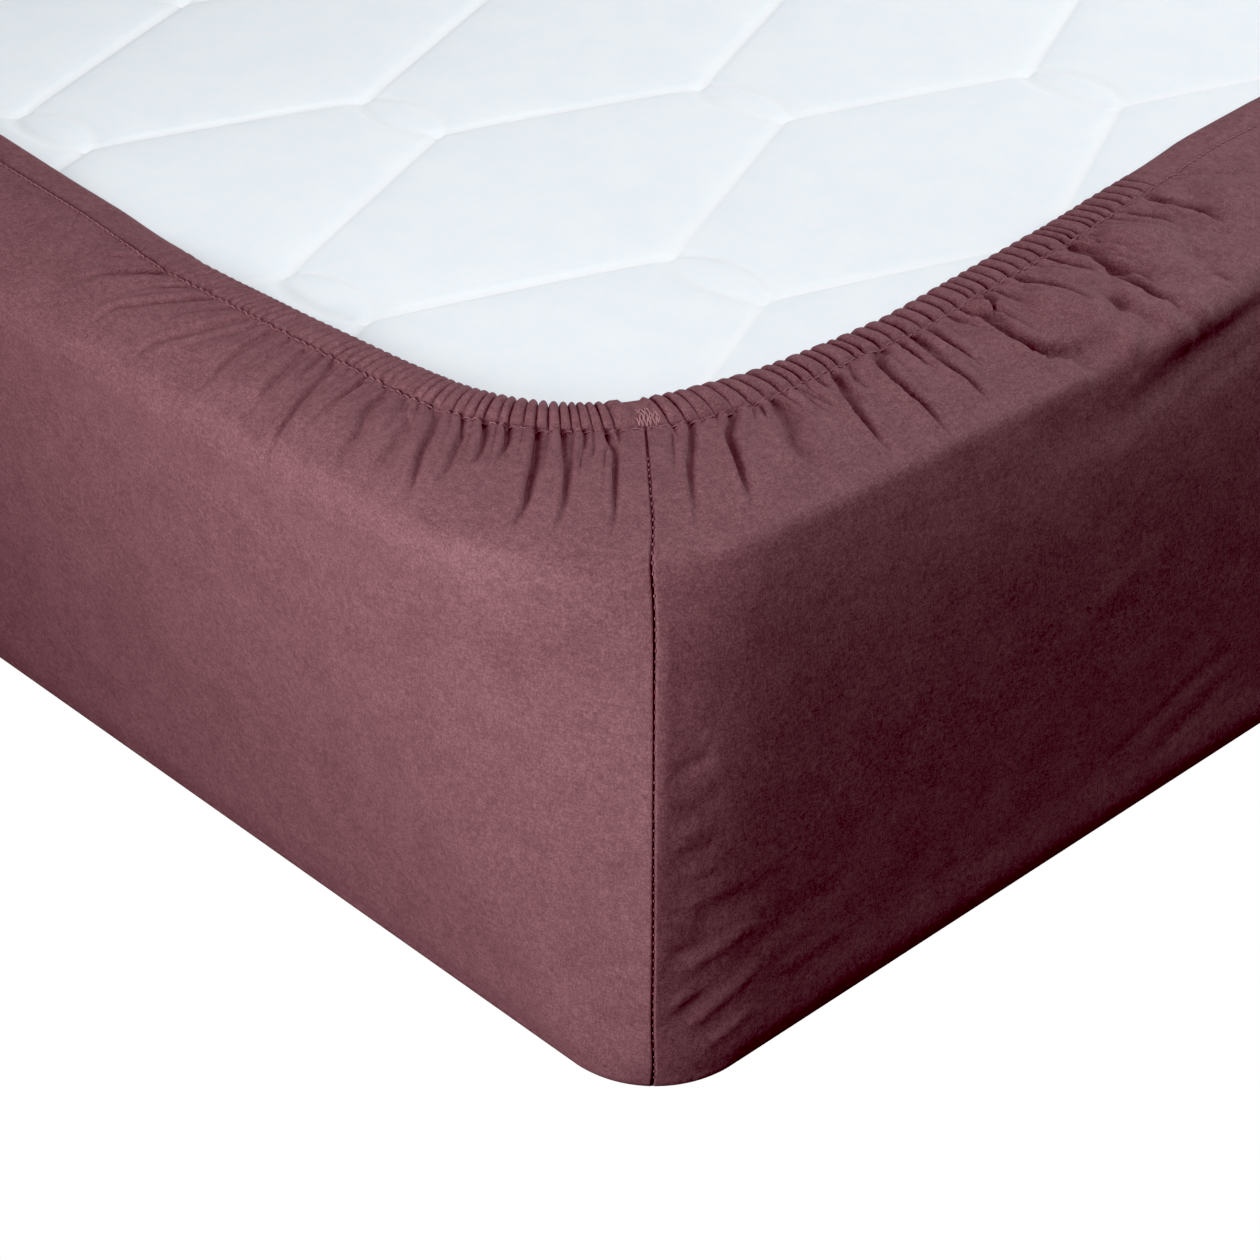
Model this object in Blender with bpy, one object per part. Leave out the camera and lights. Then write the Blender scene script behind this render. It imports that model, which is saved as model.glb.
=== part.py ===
"""Fitted sheet stretched over a single mattress, lying upside down.

The sheet's large panel is underneath, its walls stand round the mattress, and its edge
wraps over onto the mattress's upper side, where a hem casing is gathered at each corner.
Units are metres, +Z is up, X runs along the short side and Y along the long side.
The origin is at the middle of the underside.

Every closed row round the sheet is a rectangle with its own inset, height and round at the
corners, so the tables below read like a pattern: one line for each row.
"""
import math

import bpy
import bmesh
import numpy as np

# Driving dimensions
WIDTH = 0.90             # short side, outside the sheet's walls
LENGTH = 2.00            # long side
MATTRESS_TOP = 0.1955    # height of the mattress's upper side
CLOTH = 0.0013           # the sheet's own thickness
REST_GAP = 0.0003        # between two pieces that touch
WALL_GAP = 0.0022        # between the sheet's walls and the mattress
HEM_UNDERSIDE = MATTRESS_TOP + REST_GAP
MATTRESS_FOOT = CLOTH + REST_GAP
MATTRESS_WALL = CLOTH + WALL_GAP

# Stitch line of the hem: inset from the side's outermost line, against the distance from the corner
STITCH_SHORT = ((0.00, 0.0450), (0.27, 0.0455), (0.33, 0.0530), (0.42, 0.0600), (0.45, 0.0610))
STITCH_LONG = ((0.00, 0.060), (0.20, 0.060), (0.30, 0.072), (0.40, 0.089), (0.62, 0.104), (1.00, 0.104))
STITCH_RADIUS = 0.082    # round of the stitch line at a corner
STITCH_TURN = 59         # degrees of that round on the short side of the seam
CASING = 0.0165          # width of the hem casing

# Rows of the outer face from the underside to the shoulder. The tight large panel draws the
# short sides in towards the underside, so they lean out on their way up.
# Columns: inset on the short side, inset on the long side, height on the short side, height
# on the long side.
WALL_ROWS = (
    (0.0280, 0.0082, 0.0000, 0.0000),
    (0.0215, 0.0022, 0.0022, 0.0022),
    (0.0190, 0.0000, 0.0090, 0.0080),
    (0.0110, 0.0000, 0.0600, 0.0600),
    (0.0042, 0.0000, 0.1100, 0.1200),
    (0.0010, 0.0020, 0.1500, 0.1500),
)

# Rounds of the wall's corners. The seam pulls each corner into a crease, which is even only
# at the foot and over the shoulder.
# Columns: height, how far the seam lies in from the short side and from the long side,
# degrees that the cloth turns before the seam and after it.
CORNER_ROUNDS = (
    (0.000, 0.0085, 0.0085, 45, 45),
    (0.002, 0.0103, 0.0103, 45, 45),
    (0.009, 0.0113, 0.0104, 38, 36),
    (0.060, 0.0177, 0.0092, 25, 22),
    (0.115, 0.0247, 0.0095, 26, 22),
    (0.150, 0.0315, 0.0112, 33, 25),
    (0.170, 0.0350, 0.0104, 45, 28),
    (0.183, 0.0378, 0.0111, 53, 30),
    (0.190, 0.0376, 0.0122, 57, 32),
    (0.193, 0.0369, 0.0131, 57, 33),
)

# Rows of the folded shoulder. Columns as above, then how far below the wrap-over the row
# is along the cloth, how far the cloth faces out (degrees), and the deepest fold it holds.
SHOULDER_ROWS = (
    (0.0000, 0.0052, 0.1720, 0.1680, 0.029, 75, 0.0010),
    (0.0008, 0.0090, 0.1840, 0.1815, 0.016, 60, 0.0014),
    (0.0040, 0.0120, 0.1905, 0.1885, 0.008, 45, 0.0020),
    (0.0115, 0.0175, 0.1945, 0.1915, 0.000, 25, 0.0026),
)

# Rows of the gathered wrap-over: share of the way from the shoulder to the stitch line,
# height, how far the cloth faces out (degrees), and the deepest fold it holds.
WRAP_ROWS = (
    (0.34, 0.1980, 15, 0.0016),
    (0.70, 0.1996, 5, 0.0034),
    (1.00, 0.1998, 0, 0.0034),
)

# Rows of the casing: distance beyond the stitch line, height, height of a rib, how far a rib
# bulges past the free edge, and the row's share of the rise at the corners.
CASING_ROWS = (
    (0.0050, 0.2004, 0.0011, 0.0000, 0.5),
    (0.0125, 0.2002, 0.0010, 0.0000, 1.0),
    (CASING, 0.1972, 0.0003, 0.0012, 0.8),
)

# Rise of the bunched casing at a corner, against the distance from the seam.
CORNER_RISE = ((0.000, 0.0034), (0.040, 0.0030), (0.080, 0.0014), (0.110, 0.0000))

# Rows of the smooth face under the hem: distance beyond the stitch line.
HEM_FACE_ROWS = (CASING - 0.0015, 0.0)

# Rows of the inner face from the wrap-over down to the bottom panel, columns as WALL_ROWS.
INNER_ROWS = (
    (0.0229, 0.0320, HEM_UNDERSIDE, HEM_UNDERSIDE),
    (0.0129, 0.0189, 0.1916, 0.1886),
    (0.0060, 0.0140, 0.1888, 0.1868),
    (0.0026, 0.0108, 0.1832, 0.1807),
    (0.0016, 0.0067, 0.1717, 0.1676),
    (0.0024, 0.0034, 0.1499, 0.1499),
    (0.0055, CLOTH, 0.1100, 0.1200),
    (0.0123, CLOTH, 0.0600, 0.0600),
    (0.0203, CLOTH, 0.0095, 0.0085),
    (0.0224, 0.0031, 0.0033, 0.0033),
    (0.0285, 0.0088, CLOTH, CLOTH),
)

# Rows of the mattress from its underside to its upper side. Columns as WALL_ROWS, then how
# far the row lies inside the sheet's outer face at a corner.
MATTRESS_ROWS = (
    (0.0300, 0.0110, MATTRESS_FOOT, MATTRESS_FOOT, 0.0030),
    (0.0250, 0.0062, 0.0055, 0.0055, 0.0035),
    (0.0225, MATTRESS_WALL, 0.0120, 0.0110, 0.0035),
    (0.0145, MATTRESS_WALL, 0.0600, 0.0600, 0.0035),
    (0.0077, MATTRESS_WALL, 0.1100, 0.1200, 0.0035),
    (0.0046, 0.0056, 0.1490, 0.1490, 0.0036),
    (0.0046, 0.0096, 0.1690, 0.1650, 0.0046),
    (0.0062, 0.0138, 0.1800, 0.1775, 0.0050),
    (0.0100, 0.0175, 0.1855, 0.1835, 0.0060),
    (0.0165, 0.0230, 0.1895, 0.1870, 0.0110),
    (0.0270, 0.0365, MATTRESS_TOP, MATTRESS_TOP, 0.0160),
)

# Ribs of the gathered casing on each arm of a corner.
# Columns: side, distance from the seam to the first and to the last rib, number of ribs.
RIB_ARMS = (("short", 0.009, 0.234, 42), ("long", 0.0085, 0.280, 40))

# Troughs that run from the stitch line down over the shoulder.
# Columns: side, distance from the seam along the stitch line, lean towards the seam,
# length, half width, depth.
FOLDS = (
    ("short", 0.009, 0.001, 0.010, 0.0030, 0.0018),
    ("short", 0.013, 0.004, 0.044, 0.0042, 0.0034),
    ("short", 0.019, 0.000, 0.014, 0.0030, 0.0018),
    ("short", 0.026, 0.005, 0.046, 0.0036, 0.0026),
    ("short", 0.034, 0.004, 0.044, 0.0044, 0.0038),
    ("short", 0.044, 0.003, 0.020, 0.0034, 0.0022),
    ("short", 0.0515, 0.004, 0.024, 0.0036, 0.0026),
    ("short", 0.059, 0.004, 0.036, 0.0040, 0.0024),
    ("short", 0.070, 0.010, 0.042, 0.0044, 0.0036),
    ("short", 0.079, 0.011, 0.042, 0.0044, 0.0034),
    ("short", 0.093, 0.016, 0.040, 0.0044, 0.0032),
    ("short", 0.104, 0.008, 0.018, 0.0040, 0.0020),
    ("short", 0.118, 0.013, 0.030, 0.0048, 0.0032),
    ("short", 0.132, 0.007, 0.020, 0.0046, 0.0024),
    ("short", 0.148, 0.012, 0.020, 0.0048, 0.0020),
    ("short", 0.163, -0.016, 0.036, 0.0060, 0.0030),
    ("short", 0.185, -0.018, 0.020, 0.0060, 0.0030),
    ("short", 0.212, -0.022, 0.028, 0.0060, 0.0026),
    ("long", 0.0145, 0.005, 0.042, 0.0038, 0.0028),
    ("long", 0.028, 0.005, 0.040, 0.0042, 0.0034),
    ("long", 0.039, 0.000, 0.010, 0.0034, 0.0018),
    ("long", 0.0445, 0.007, 0.036, 0.0044, 0.0038),
    ("long", 0.057, 0.002, 0.014, 0.0036, 0.0018),
    ("long", 0.0705, 0.015, 0.038, 0.0050, 0.0040),
    ("long", 0.080, 0.009, 0.015, 0.0038, 0.0020),
    ("long", 0.091, 0.011, 0.038, 0.0048, 0.0038),
    ("long", 0.102, 0.003, 0.020, 0.0040, 0.0020),
    ("long", 0.1095, 0.006, 0.046, 0.0048, 0.0034),
    ("long", 0.119, 0.004, 0.020, 0.0040, 0.0022),
    ("long", 0.129, 0.000, 0.011, 0.0036, 0.0018),
    ("long", 0.149, 0.014, 0.054, 0.0070, 0.0046),
    ("long", 0.169, -0.003, 0.028, 0.0052, 0.0034),
    ("long", 0.192, 0.002, 0.015, 0.0044, 0.0020),
    ("long", 0.204, 0.001, 0.034, 0.0060, 0.0038),
    ("long", 0.232, -0.004, 0.016, 0.0050, 0.0020),
    ("long", 0.259, -0.003, 0.026, 0.0060, 0.0034),
    ("long", 0.284, -0.028, 0.028, 0.0050, 0.0022),
)
FOLD_SPREAD = 0.8        # how much wider a trough is at its lower end
FOLD_FADE = 0.7          # power by which a trough gets shallower on its way down

# Slack cloth that stands out over the edge of a long side.
# Columns: distance from the corner, half length, height, half height, how far it stands out.
BULGES = ((0.335, 0.060, 0.1860, 0.012, 0.0060), (0.262, 0.026, 0.1880, 0.010, 0.0035))

# The four corners going round: signs of X and Y, and which arm comes first.
CORNERS = ((1, -1, "short"), (1, 1, "long"), (-1, 1, "short"), (-1, -1, "long"))

ROUND_COLUMNS = (0.014, 0.030, 0.050, 0.075, 0.105, 0.150)   # distances from the seam
COARSE_STEP = 0.085      # spacing of the columns along the straight walls
HEM_STEP = 0.110         # the same along the plain hem
GATHER_END = 0.42        # distance from the corner that takes in every rib and fold
GATHER_SAMPLES = 500     # points used to measure along the stitch line
SIDE_BLEND = 0.045       # how softly the short side's height becomes the long side's

SHEET_COLOUR = (0.20, 0.085, 0.10, 1.0)
MATTRESS_COLOUR = (0.86, 0.87, 0.90, 1.0)


def half_side(side):
    """Length of one arm, from the corner to the middle of its side."""
    return (WIDTH if side == "short" else LENGTH) / 2


def reading(table, distance):
    """Value of a two-column table at a distance from the corner."""
    return float(np.interp(distance, [row[0] for row in table], [row[1] for row in table]))


def corner_point(q, short_inset, long_inset, corner_round):
    """Plan point of a row near a corner, as distances inward from the long and short sides.

    q is the distance from the seam, negative on the short side and positive on the long
    side. corner_round holds the seam's depth from each side and the degrees turned.
    """
    short_depth, long_depth, short_turn, long_turn = corner_round
    short_turn, long_turn = math.radians(short_turn), math.radians(long_turn)
    short_radius = short_depth / (1 - math.cos(short_turn))
    long_radius = long_depth / (1 - math.cos(long_turn))
    short_start = long_inset + long_depth + short_radius * math.sin(short_turn)
    long_start = short_inset + short_depth + long_radius * math.sin(long_turn)
    if -q >= short_start:
        return -q, short_inset
    if q >= long_start:
        return long_inset, q
    if q < 0:
        angle = short_turn * (1 + q / short_start)
        across = short_start - short_radius * math.sin(angle)
        return across, short_inset + short_radius * (1 - math.cos(angle))
    angle = long_turn * (1 - q / long_start)
    along = long_start - long_radius * math.sin(angle)
    return long_inset + long_radius * (1 - math.cos(angle)), along


def even_round(radius, turn):
    """The round of an even curve that turns by so many degrees before the seam."""
    short_share = 1 - math.cos(math.radians(turn))
    long_share = 1 - math.sin(math.radians(turn))
    return radius * short_share, radius * long_share, turn, 90 - turn


def corner_round_at(height, inward):
    """The wall's corner round at a height, as it is some way inside the outer face."""
    heights = [row[0] for row in CORNER_ROUNDS]
    short_depth, long_depth, short_turn, long_turn = (
        float(np.interp(height, heights, column)) for column in list(zip(*CORNER_ROUNDS))[1:])
    # At the crease both faces meet on the line that halves the angle between them.
    facing = math.radians(short_turn + 90 - long_turn) / 2
    half_crease = math.radians(90 - short_turn - long_turn) / 2
    short_depth -= inward * (1 - math.cos(facing) / math.cos(half_crease))
    long_depth -= inward * (1 - math.sin(facing) / math.cos(half_crease))
    return short_depth, long_depth, short_turn, long_turn


def blended_height(q, short_height, long_height):
    """Height near a corner, between those of its two sides."""
    share = 0.5 + 0.5 * math.tanh(q / SIDE_BLEND)
    return short_height + (long_height - short_height) * share


def place(corner, across, along, height):
    """World point from distances inward from a corner's long and short walls."""
    sign_x, sign_y, _ = CORNERS[corner]
    return np.array((sign_x * (WIDTH / 2 - across), sign_y * (LENGTH / 2 - along), height))


def loop_stations(arm_positions):
    """Columns round the whole sheet, as (corner, q, place in the round).

    arm_positions(side) gives the distances from the seam on one arm of a corner.
    """
    stations = []
    start = 0.0
    for corner, (_, _, first) in enumerate(CORNERS):
        second = "long" if first == "short" else "short"
        seam = start + half_side(first)
        for side, way in ((first, -1), (second, 1)):
            sign = -1 if side == "short" else 1
            for distance in arm_positions(side):
                stations.append((corner, sign * distance, seam + way * distance))
        stations.append((corner, 0.0, seam))
        start = seam + half_side(second)
    stations.sort(key=lambda station: station[2])
    return stations


def coarse_arm(side):
    """Distances of the wall columns from the seam: close on the round, wide beyond it."""
    rest = half_side(side) - ROUND_COLUMNS[-1]
    count = round(rest / COARSE_STEP)
    # The last step would reach the middle of the side, where the next corner's arm begins.
    return list(ROUND_COLUMNS) + [ROUND_COLUMNS[-1] + rest * (i + 1) / count for i in range(count - 1)]


def stitch_insets(q):
    """Insets of the stitch line, short side first."""
    distance = abs(q)
    return reading(STITCH_SHORT, distance), reading(STITCH_LONG, distance)


def stitch_length_table(side):
    """Distances from the seam along the stitch line, against q on one arm."""
    sign = -1 if side == "short" else 1
    qs = np.linspace(0.0, GATHER_END, GATHER_SAMPLES)
    curve = even_round(STITCH_RADIUS, STITCH_TURN)
    points = np.array([corner_point(sign * q, *stitch_insets(q), curve) for q in qs])
    steps = np.hypot(*np.diff(points, axis=0).T)
    return qs, np.concatenate(((0.0,), np.cumsum(steps)))


LENGTH_TABLES = {side: stitch_length_table(side) for side in ("short", "long")}


def along_stitches(q):
    """Distance from the seam along the stitch line at q, without its sign."""
    qs, lengths = LENGTH_TABLES["short" if q < 0 else "long"]
    return float(np.interp(abs(q), qs, lengths)) + max(0.0, abs(q) - qs[-1])


def fine_arm(side):
    """Columns of the gathered hem: one on each rib's crest and one in each groove."""
    _, first, last, count = next(arm for arm in RIB_ARMS if arm[0] == side)
    qs, lengths = LENGTH_TABLES[side]
    marks = np.concatenate(((first / 2,), np.linspace(first, last, 2 * count)))
    gathered = [float(np.interp(mark, lengths, qs)) for mark in marks]
    rest = half_side(side) - gathered[-1]
    steps = round(rest / HEM_STEP)
    return gathered + [gathered[-1] + rest * (i + 1) / steps for i in range(steps - 1)]


def rib_height(q):
    """+1 on a crest, -1 in a groove and 0 along the plain hem."""
    side = "short" if q < 0 else "long"
    _, first, last, count = next(arm for arm in RIB_ARMS if arm[0] == side)
    step = (last - first) / (2 * count - 1)
    place_in_ribs = (along_stitches(q) - first) / step
    if place_in_ribs < -0.01 or place_in_ribs > 2 * count - 0.99:
        return 0.0
    return 1.0 if round(place_in_ribs) % 2 == 0 else -1.0


def fold_depth(q, distance):
    """Depth of the gather folds at a distance from the stitch line along the cloth."""
    side = "short" if q < 0 else "long"
    mark = along_stitches(q)
    depth = 0.0
    for arm, start, lean, length, half_width, drop in FOLDS:
        if arm != side or distance >= length:
            continue
        share = distance / length
        width = half_width * (1 + FOLD_SPREAD * share)
        off = (mark - start + lean * share) / width
        depth += drop * (1 - share) ** FOLD_FADE * math.exp(-off * off)
    return depth


def bulge(corner_q, height):
    """How far slack cloth stands out from a long side."""
    out = 0.0
    for middle, half_length, level, half_height, stand in BULGES:
        along = (corner_q - middle) / half_length
        up = (height - level) / half_height
        out += stand * math.exp(-along * along - up * up)
    return out


def shaped_row(stations, short_inset, long_inset, short_height, long_height, inward=0.0):
    """World points of a wall, inner or mattress row."""
    corner_round = corner_round_at((short_height + long_height) / 2, inward)
    points = []
    for corner, q, _ in stations:
        across, along = corner_point(q, short_inset, long_inset, corner_round)
        height = blended_height(q, short_height, long_height)
        points.append(place(corner, across, along, height))
    return points


def bulged(stations, points):
    """The same row with the long side's slack cloth standing out."""
    moved = []
    for (corner, q, _), point in zip(stations, points):
        out = bulge(q, point[2]) if q > 0 else 0.0
        moved.append(point + np.array((CORNERS[corner][0] * out, 0.0, 0.0)))
    return moved


def wrap_width(q):
    """Width of the cloth from the shoulder to the stitch line at q."""
    stitch_short, stitch_long = stitch_insets(q)
    if q < 0:
        return stitch_short - SHOULDER_ROWS[-1][0]
    return stitch_long - SHOULDER_ROWS[-1][1]


def folded_row(stations, insets, heights, corner_round, distance, facing, room):
    """World points of a row whose folds are pressed in square to the cloth.

    insets and distance are functions of q. Insets and heights give the short side's value
    first, and distance is measured from the stitch line along the cloth.
    """
    out, up = math.sin(math.radians(facing)), math.cos(math.radians(facing))
    points = []
    for corner, q, _ in stations:
        drop = min(room, fold_depth(q, distance(q)))
        short_inset, long_inset = insets(q)
        across, along = corner_point(q, short_inset + drop * out, long_inset + drop * out, corner_round)
        height = blended_height(q, *heights) - drop * up
        points.append(place(corner, across, along, height))
    return points


def shoulder_row(stations, short_inset, long_inset, short_height, long_height, below, facing, room):
    """World points of a row of the folded shoulder."""
    corner_round = corner_round_at((short_height + long_height) / 2, 0.0)
    points = folded_row(stations, lambda q: (short_inset, long_inset), (short_height, long_height),
                        corner_round, lambda q: wrap_width(q) + below, facing, room)
    return bulged(stations, points)


def wrap_row(stations, share, height, facing, room):
    """World points of a row of the gathered wrap-over."""
    shoulder = SHOULDER_ROWS[-1]
    shouldered = corner_round_at((shoulder[2] + shoulder[3]) / 2, 0.0)

    def insets(q):
        stitch_short, stitch_long = stitch_insets(q)
        return (shoulder[0] + (stitch_short - shoulder[0]) * share,
                shoulder[1] + (stitch_long - shoulder[1]) * share)

    stitched = even_round(STITCH_RADIUS, STITCH_TURN)
    corner_round = [start + (end - start) * share for start, end in zip(shouldered, stitched)]
    return folded_row(stations, insets, (height, height), corner_round,
                      lambda q: wrap_width(q) * (1 - share), facing, room)


def casing_row(stations, beyond, height, rib, scallop, rise_share):
    """World points of a row of the ribbed hem casing."""
    points = []
    for corner, q, _ in stations:
        stitch_short, stitch_long = stitch_insets(q)
        crest = rib_height(q)
        reach = beyond + crest * scallop
        rise = rise_share * reading(CORNER_RISE, along_stitches(q))
        curve = even_round(STITCH_RADIUS - reach, STITCH_TURN)
        across, along = corner_point(q, stitch_short + reach, stitch_long + reach, curve)
        points.append(place(corner, across, along, height + rise + crest * rib))
    return points


def hem_face_row(stations, beyond):
    """World points of the smooth face under the casing."""
    points = []
    for corner, q, _ in stations:
        stitch_short, stitch_long = stitch_insets(q)
        curve = even_round(STITCH_RADIUS - beyond, STITCH_TURN)
        across, along = corner_point(q, stitch_short + beyond, stitch_long + beyond, curve)
        points.append(place(corner, across, along, HEM_UNDERSIDE))
    return points


def add_ring(bm, stations, points):
    """Vertices of one closed row, with their places in the round."""
    return [(station[2], bm.verts.new(point)) for station, point in zip(stations, points)]


def join_rings(bm, lower, upper):
    """Faces between two closed rows, also where one has more columns than the other."""
    perimeter = 2 * (WIDTH + LENGTH)
    count_low, count_up = len(lower), len(upper)

    def mark(ring, index):
        return ring[index % len(ring)][0] + perimeter * (index // len(ring))

    low = up = 0
    while low < count_low or up < count_up:
        low_a = lower[low % count_low][1]
        up_a = upper[up % count_up][1]
        next_low, next_up = mark(lower, low + 1), mark(upper, up + 1)
        low_b = lower[(low + 1) % count_low][1]
        up_b = upper[(up + 1) % count_up][1]
        if low < count_low and up < count_up and abs(next_low - next_up) < 1e-9:
            bm.faces.new((low_a, low_b, up_b, up_a))
            low, up = low + 1, up + 1
        elif up >= count_up or (low < count_low and next_low < next_up):
            bm.faces.new((low_a, low_b, up_a))
            low += 1
        else:
            bm.faces.new((low_a, up_b, up_a))
            up += 1


def material(name, colour, roughness):
    """Plain cloth material."""
    made = bpy.data.materials.new(name)
    made.use_nodes = True
    shader = made.node_tree.nodes["Principled BSDF"]
    shader.inputs["Base Color"].default_value = colour
    shader.inputs["Roughness"].default_value = roughness
    shader.inputs["Metallic"].default_value = 0.0
    return made


def mesh_object(name, bm, collection, finish):
    """Turn a finished bmesh into an object with its material."""
    bmesh.ops.triangulate(bm, faces=bm.faces[:], quad_method="SHORT_EDGE", ngon_method="BEAUTY")
    bmesh.ops.recalc_face_normals(bm, faces=bm.faces[:])
    mesh = bpy.data.meshes.new(name)
    bm.to_mesh(mesh)
    bm.free()
    mesh.shade_smooth()
    mesh.set_sharp_from_angle(angle=math.radians(50))
    mesh.materials.append(finish)
    made = bpy.data.objects.new(name, mesh)
    collection.objects.link(made)
    return made


def build_sheet(collection):
    """The sheet as one closed solid: outer face, ribbed hem, inner face."""
    wall = loop_stations(coarse_arm)
    hem = loop_stations(fine_arm)
    half = hem[::2]
    bm = bmesh.new()
    rings = [add_ring(bm, wall, bulged(wall, shaped_row(wall, *row))) for row in WALL_ROWS]
    rings += [add_ring(bm, half, shoulder_row(half, *row)) for row in SHOULDER_ROWS]
    rings.append(add_ring(bm, half, wrap_row(half, *WRAP_ROWS[0])))
    rings += [add_ring(bm, hem, wrap_row(hem, *row)) for row in WRAP_ROWS[1:]]
    rings += [add_ring(bm, hem, casing_row(hem, *row)) for row in CASING_ROWS]
    rings += [add_ring(bm, wall, hem_face_row(wall, beyond)) for beyond in HEM_FACE_ROWS]
    rings += [add_ring(bm, wall, shaped_row(wall, *row, inward=CLOTH)) for row in INNER_ROWS]
    for lower, upper in zip(rings, rings[1:]):
        join_rings(bm, lower, upper)
    bm.faces.new([vertex for _, vertex in reversed(rings[0])])
    bm.faces.new([vertex for _, vertex in rings[-1]])
    return mesh_object("fitted_sheet", bm, collection, material("sheet_cotton", SHEET_COLOUR, 0.85))


def build_mattress(collection):
    """The plain mattress that the sheet is stretched over."""
    wall = loop_stations(coarse_arm)
    bm = bmesh.new()
    rings = [add_ring(bm, wall, shaped_row(wall, *row)) for row in MATTRESS_ROWS]
    for lower, upper in zip(rings, rings[1:]):
        join_rings(bm, lower, upper)
    bm.faces.new([vertex for _, vertex in reversed(rings[0])])
    bm.faces.new([vertex for _, vertex in rings[-1]])
    return mesh_object("mattress", bm, collection, material("mattress_cover", MATTRESS_COLOUR, 0.8))


def main():
    for old in list(bpy.data.objects):
        bpy.data.objects.remove(old, do_unlink=True)
    collection = bpy.data.collections.new("fitted_sheet_on_mattress")
    bpy.context.scene.collection.children.link(collection)
    build_sheet(collection)
    build_mattress(collection)


main()
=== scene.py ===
"""Looks of a fitted sheet that is stretched over a single mattress lying upside down.

Units are metres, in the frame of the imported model: +X along the short side, +Y along the
long side, +Z up. The near corner is the one at +X and -Y.

Places on the cloth are given by two distances in millimetres. s runs along the stitch line
of the hem from the corner's seam, negative on the short side and positive on the long side.
t runs from the stitch line down the cloth.
"""
import math

import bpy
import numpy as np
from mathutils import Matrix, Vector, geometry


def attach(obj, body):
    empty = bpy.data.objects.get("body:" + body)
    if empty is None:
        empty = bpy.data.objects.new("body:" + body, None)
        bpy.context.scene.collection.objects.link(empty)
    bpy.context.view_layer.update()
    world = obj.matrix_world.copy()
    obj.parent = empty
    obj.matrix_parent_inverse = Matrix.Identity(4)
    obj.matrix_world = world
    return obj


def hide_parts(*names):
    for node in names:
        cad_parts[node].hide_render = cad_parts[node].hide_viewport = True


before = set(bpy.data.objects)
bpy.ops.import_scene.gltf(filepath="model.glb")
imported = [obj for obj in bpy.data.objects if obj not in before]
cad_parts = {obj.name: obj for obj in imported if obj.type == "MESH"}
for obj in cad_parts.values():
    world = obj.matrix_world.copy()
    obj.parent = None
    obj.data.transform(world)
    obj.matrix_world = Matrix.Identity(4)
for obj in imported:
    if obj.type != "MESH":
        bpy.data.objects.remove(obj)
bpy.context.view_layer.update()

MM = 0.001
WIDTH = 0.90
LENGTH = 2.00
MATTRESS_TOP = 0.1955
STITCH_TABLE_SIZE = 2000  # places at which the stitch line is measured

# Stitch line of the hem: inset from the side's outermost line, against the distance from the corner
STITCH_SHORT = ((0.00, 0.0450), (0.27, 0.0455), (0.33, 0.0530), (0.42, 0.0600), (0.45, 0.0610))
STITCH_LONG = ((0.00, 0.060), (0.20, 0.060), (0.30, 0.072), (0.40, 0.089), (0.62, 0.104), (1.00, 0.104))
STITCH_RADIUS = 0.082
STITCH_TURN = 59
CASING = 0.0165

# Rows of the cloth from the shoulder down to the underside. Columns: inset on the short side,
# inset on the long side, height on the short side, height on the long side.
SHELL_ROWS = (
    (0.0115, 0.0175, 0.1945, 0.1915),
    (0.0040, 0.0120, 0.1905, 0.1885),
    (0.0008, 0.0090, 0.1840, 0.1815),
    (0.0000, 0.0052, 0.1720, 0.1680),
    (0.0010, 0.0020, 0.1500, 0.1500),
    (0.0042, 0.0000, 0.1100, 0.1200),
    (0.0110, 0.0000, 0.0600, 0.0600),
    (0.0155, 0.0000, 0.0300, 0.0300),
    (0.0190, 0.0000, 0.0090, 0.0080),
    (0.0215, 0.0022, 0.0022, 0.0022),
    (0.0280, 0.0082, 0.0000, 0.0000),
)
FOOT_ROW = 12.2  # row number below which the cloth lies flat on the floor

# Rounds of the wall's corners, which the seam pulls into a crease. Columns: height, how far
# the seam lies in from the short side and from the long side, degrees that the cloth turns
# before the seam and after it.
CORNER_ROUNDS = (
    (0.000, 0.0085, 0.0085, 45, 45),
    (0.002, 0.0103, 0.0103, 45, 45),
    (0.009, 0.0113, 0.0104, 38, 36),
    (0.030, 0.0134, 0.0095, 28, 26),
    (0.060, 0.0177, 0.0092, 25, 22),
    (0.115, 0.0247, 0.0095, 26, 22),
    (0.150, 0.0315, 0.0112, 33, 25),
    (0.170, 0.0350, 0.0104, 45, 28),
    (0.183, 0.0378, 0.0111, 53, 30),
    (0.190, 0.0376, 0.0122, 57, 32),
    (0.193, 0.0369, 0.0131, 57, 33),
)

# Rows of the wrap-over: share of the way from the shoulder to the stitch line, height.
WRAP_ROWS = ((1.00, 0.1998), (0.70, 0.1996), (0.34, 0.1980))

# Rows of the mattress's side from its upper side to its underside. Columns as SHELL_ROWS,
# then how far the row lies inside the cloth at a corner.
MATTRESS_ROWS = (
    (0.0460, 0.0610, 0.1955, 0.1955, 0.0000),
    (0.0330, 0.0440, 0.1925, 0.1925, 0.0000),
    (0.0225, 0.0310, 0.1885, 0.1880, 0.0060),
    (0.0150, 0.0230, 0.1840, 0.1830, 0.0060),
    (0.0100, 0.0185, 0.1780, 0.1760, 0.0060),
    (0.0075, 0.0140, 0.1690, 0.1650, 0.0060),
    (0.0052, 0.0062, 0.1490, 0.1490, 0.0042),
    (0.0083, 0.0042, 0.1100, 0.1200, 0.0042),
    (0.0151, 0.0042, 0.0600, 0.0600, 0.0042),
    (0.0231, 0.0042, 0.0120, 0.0110, 0.0042),
    (0.0256, 0.0068, 0.0055, 0.0055, 0.0040),
    (0.0300, 0.0110, 0.0018, 0.0018, 0.0030),
)
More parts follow.
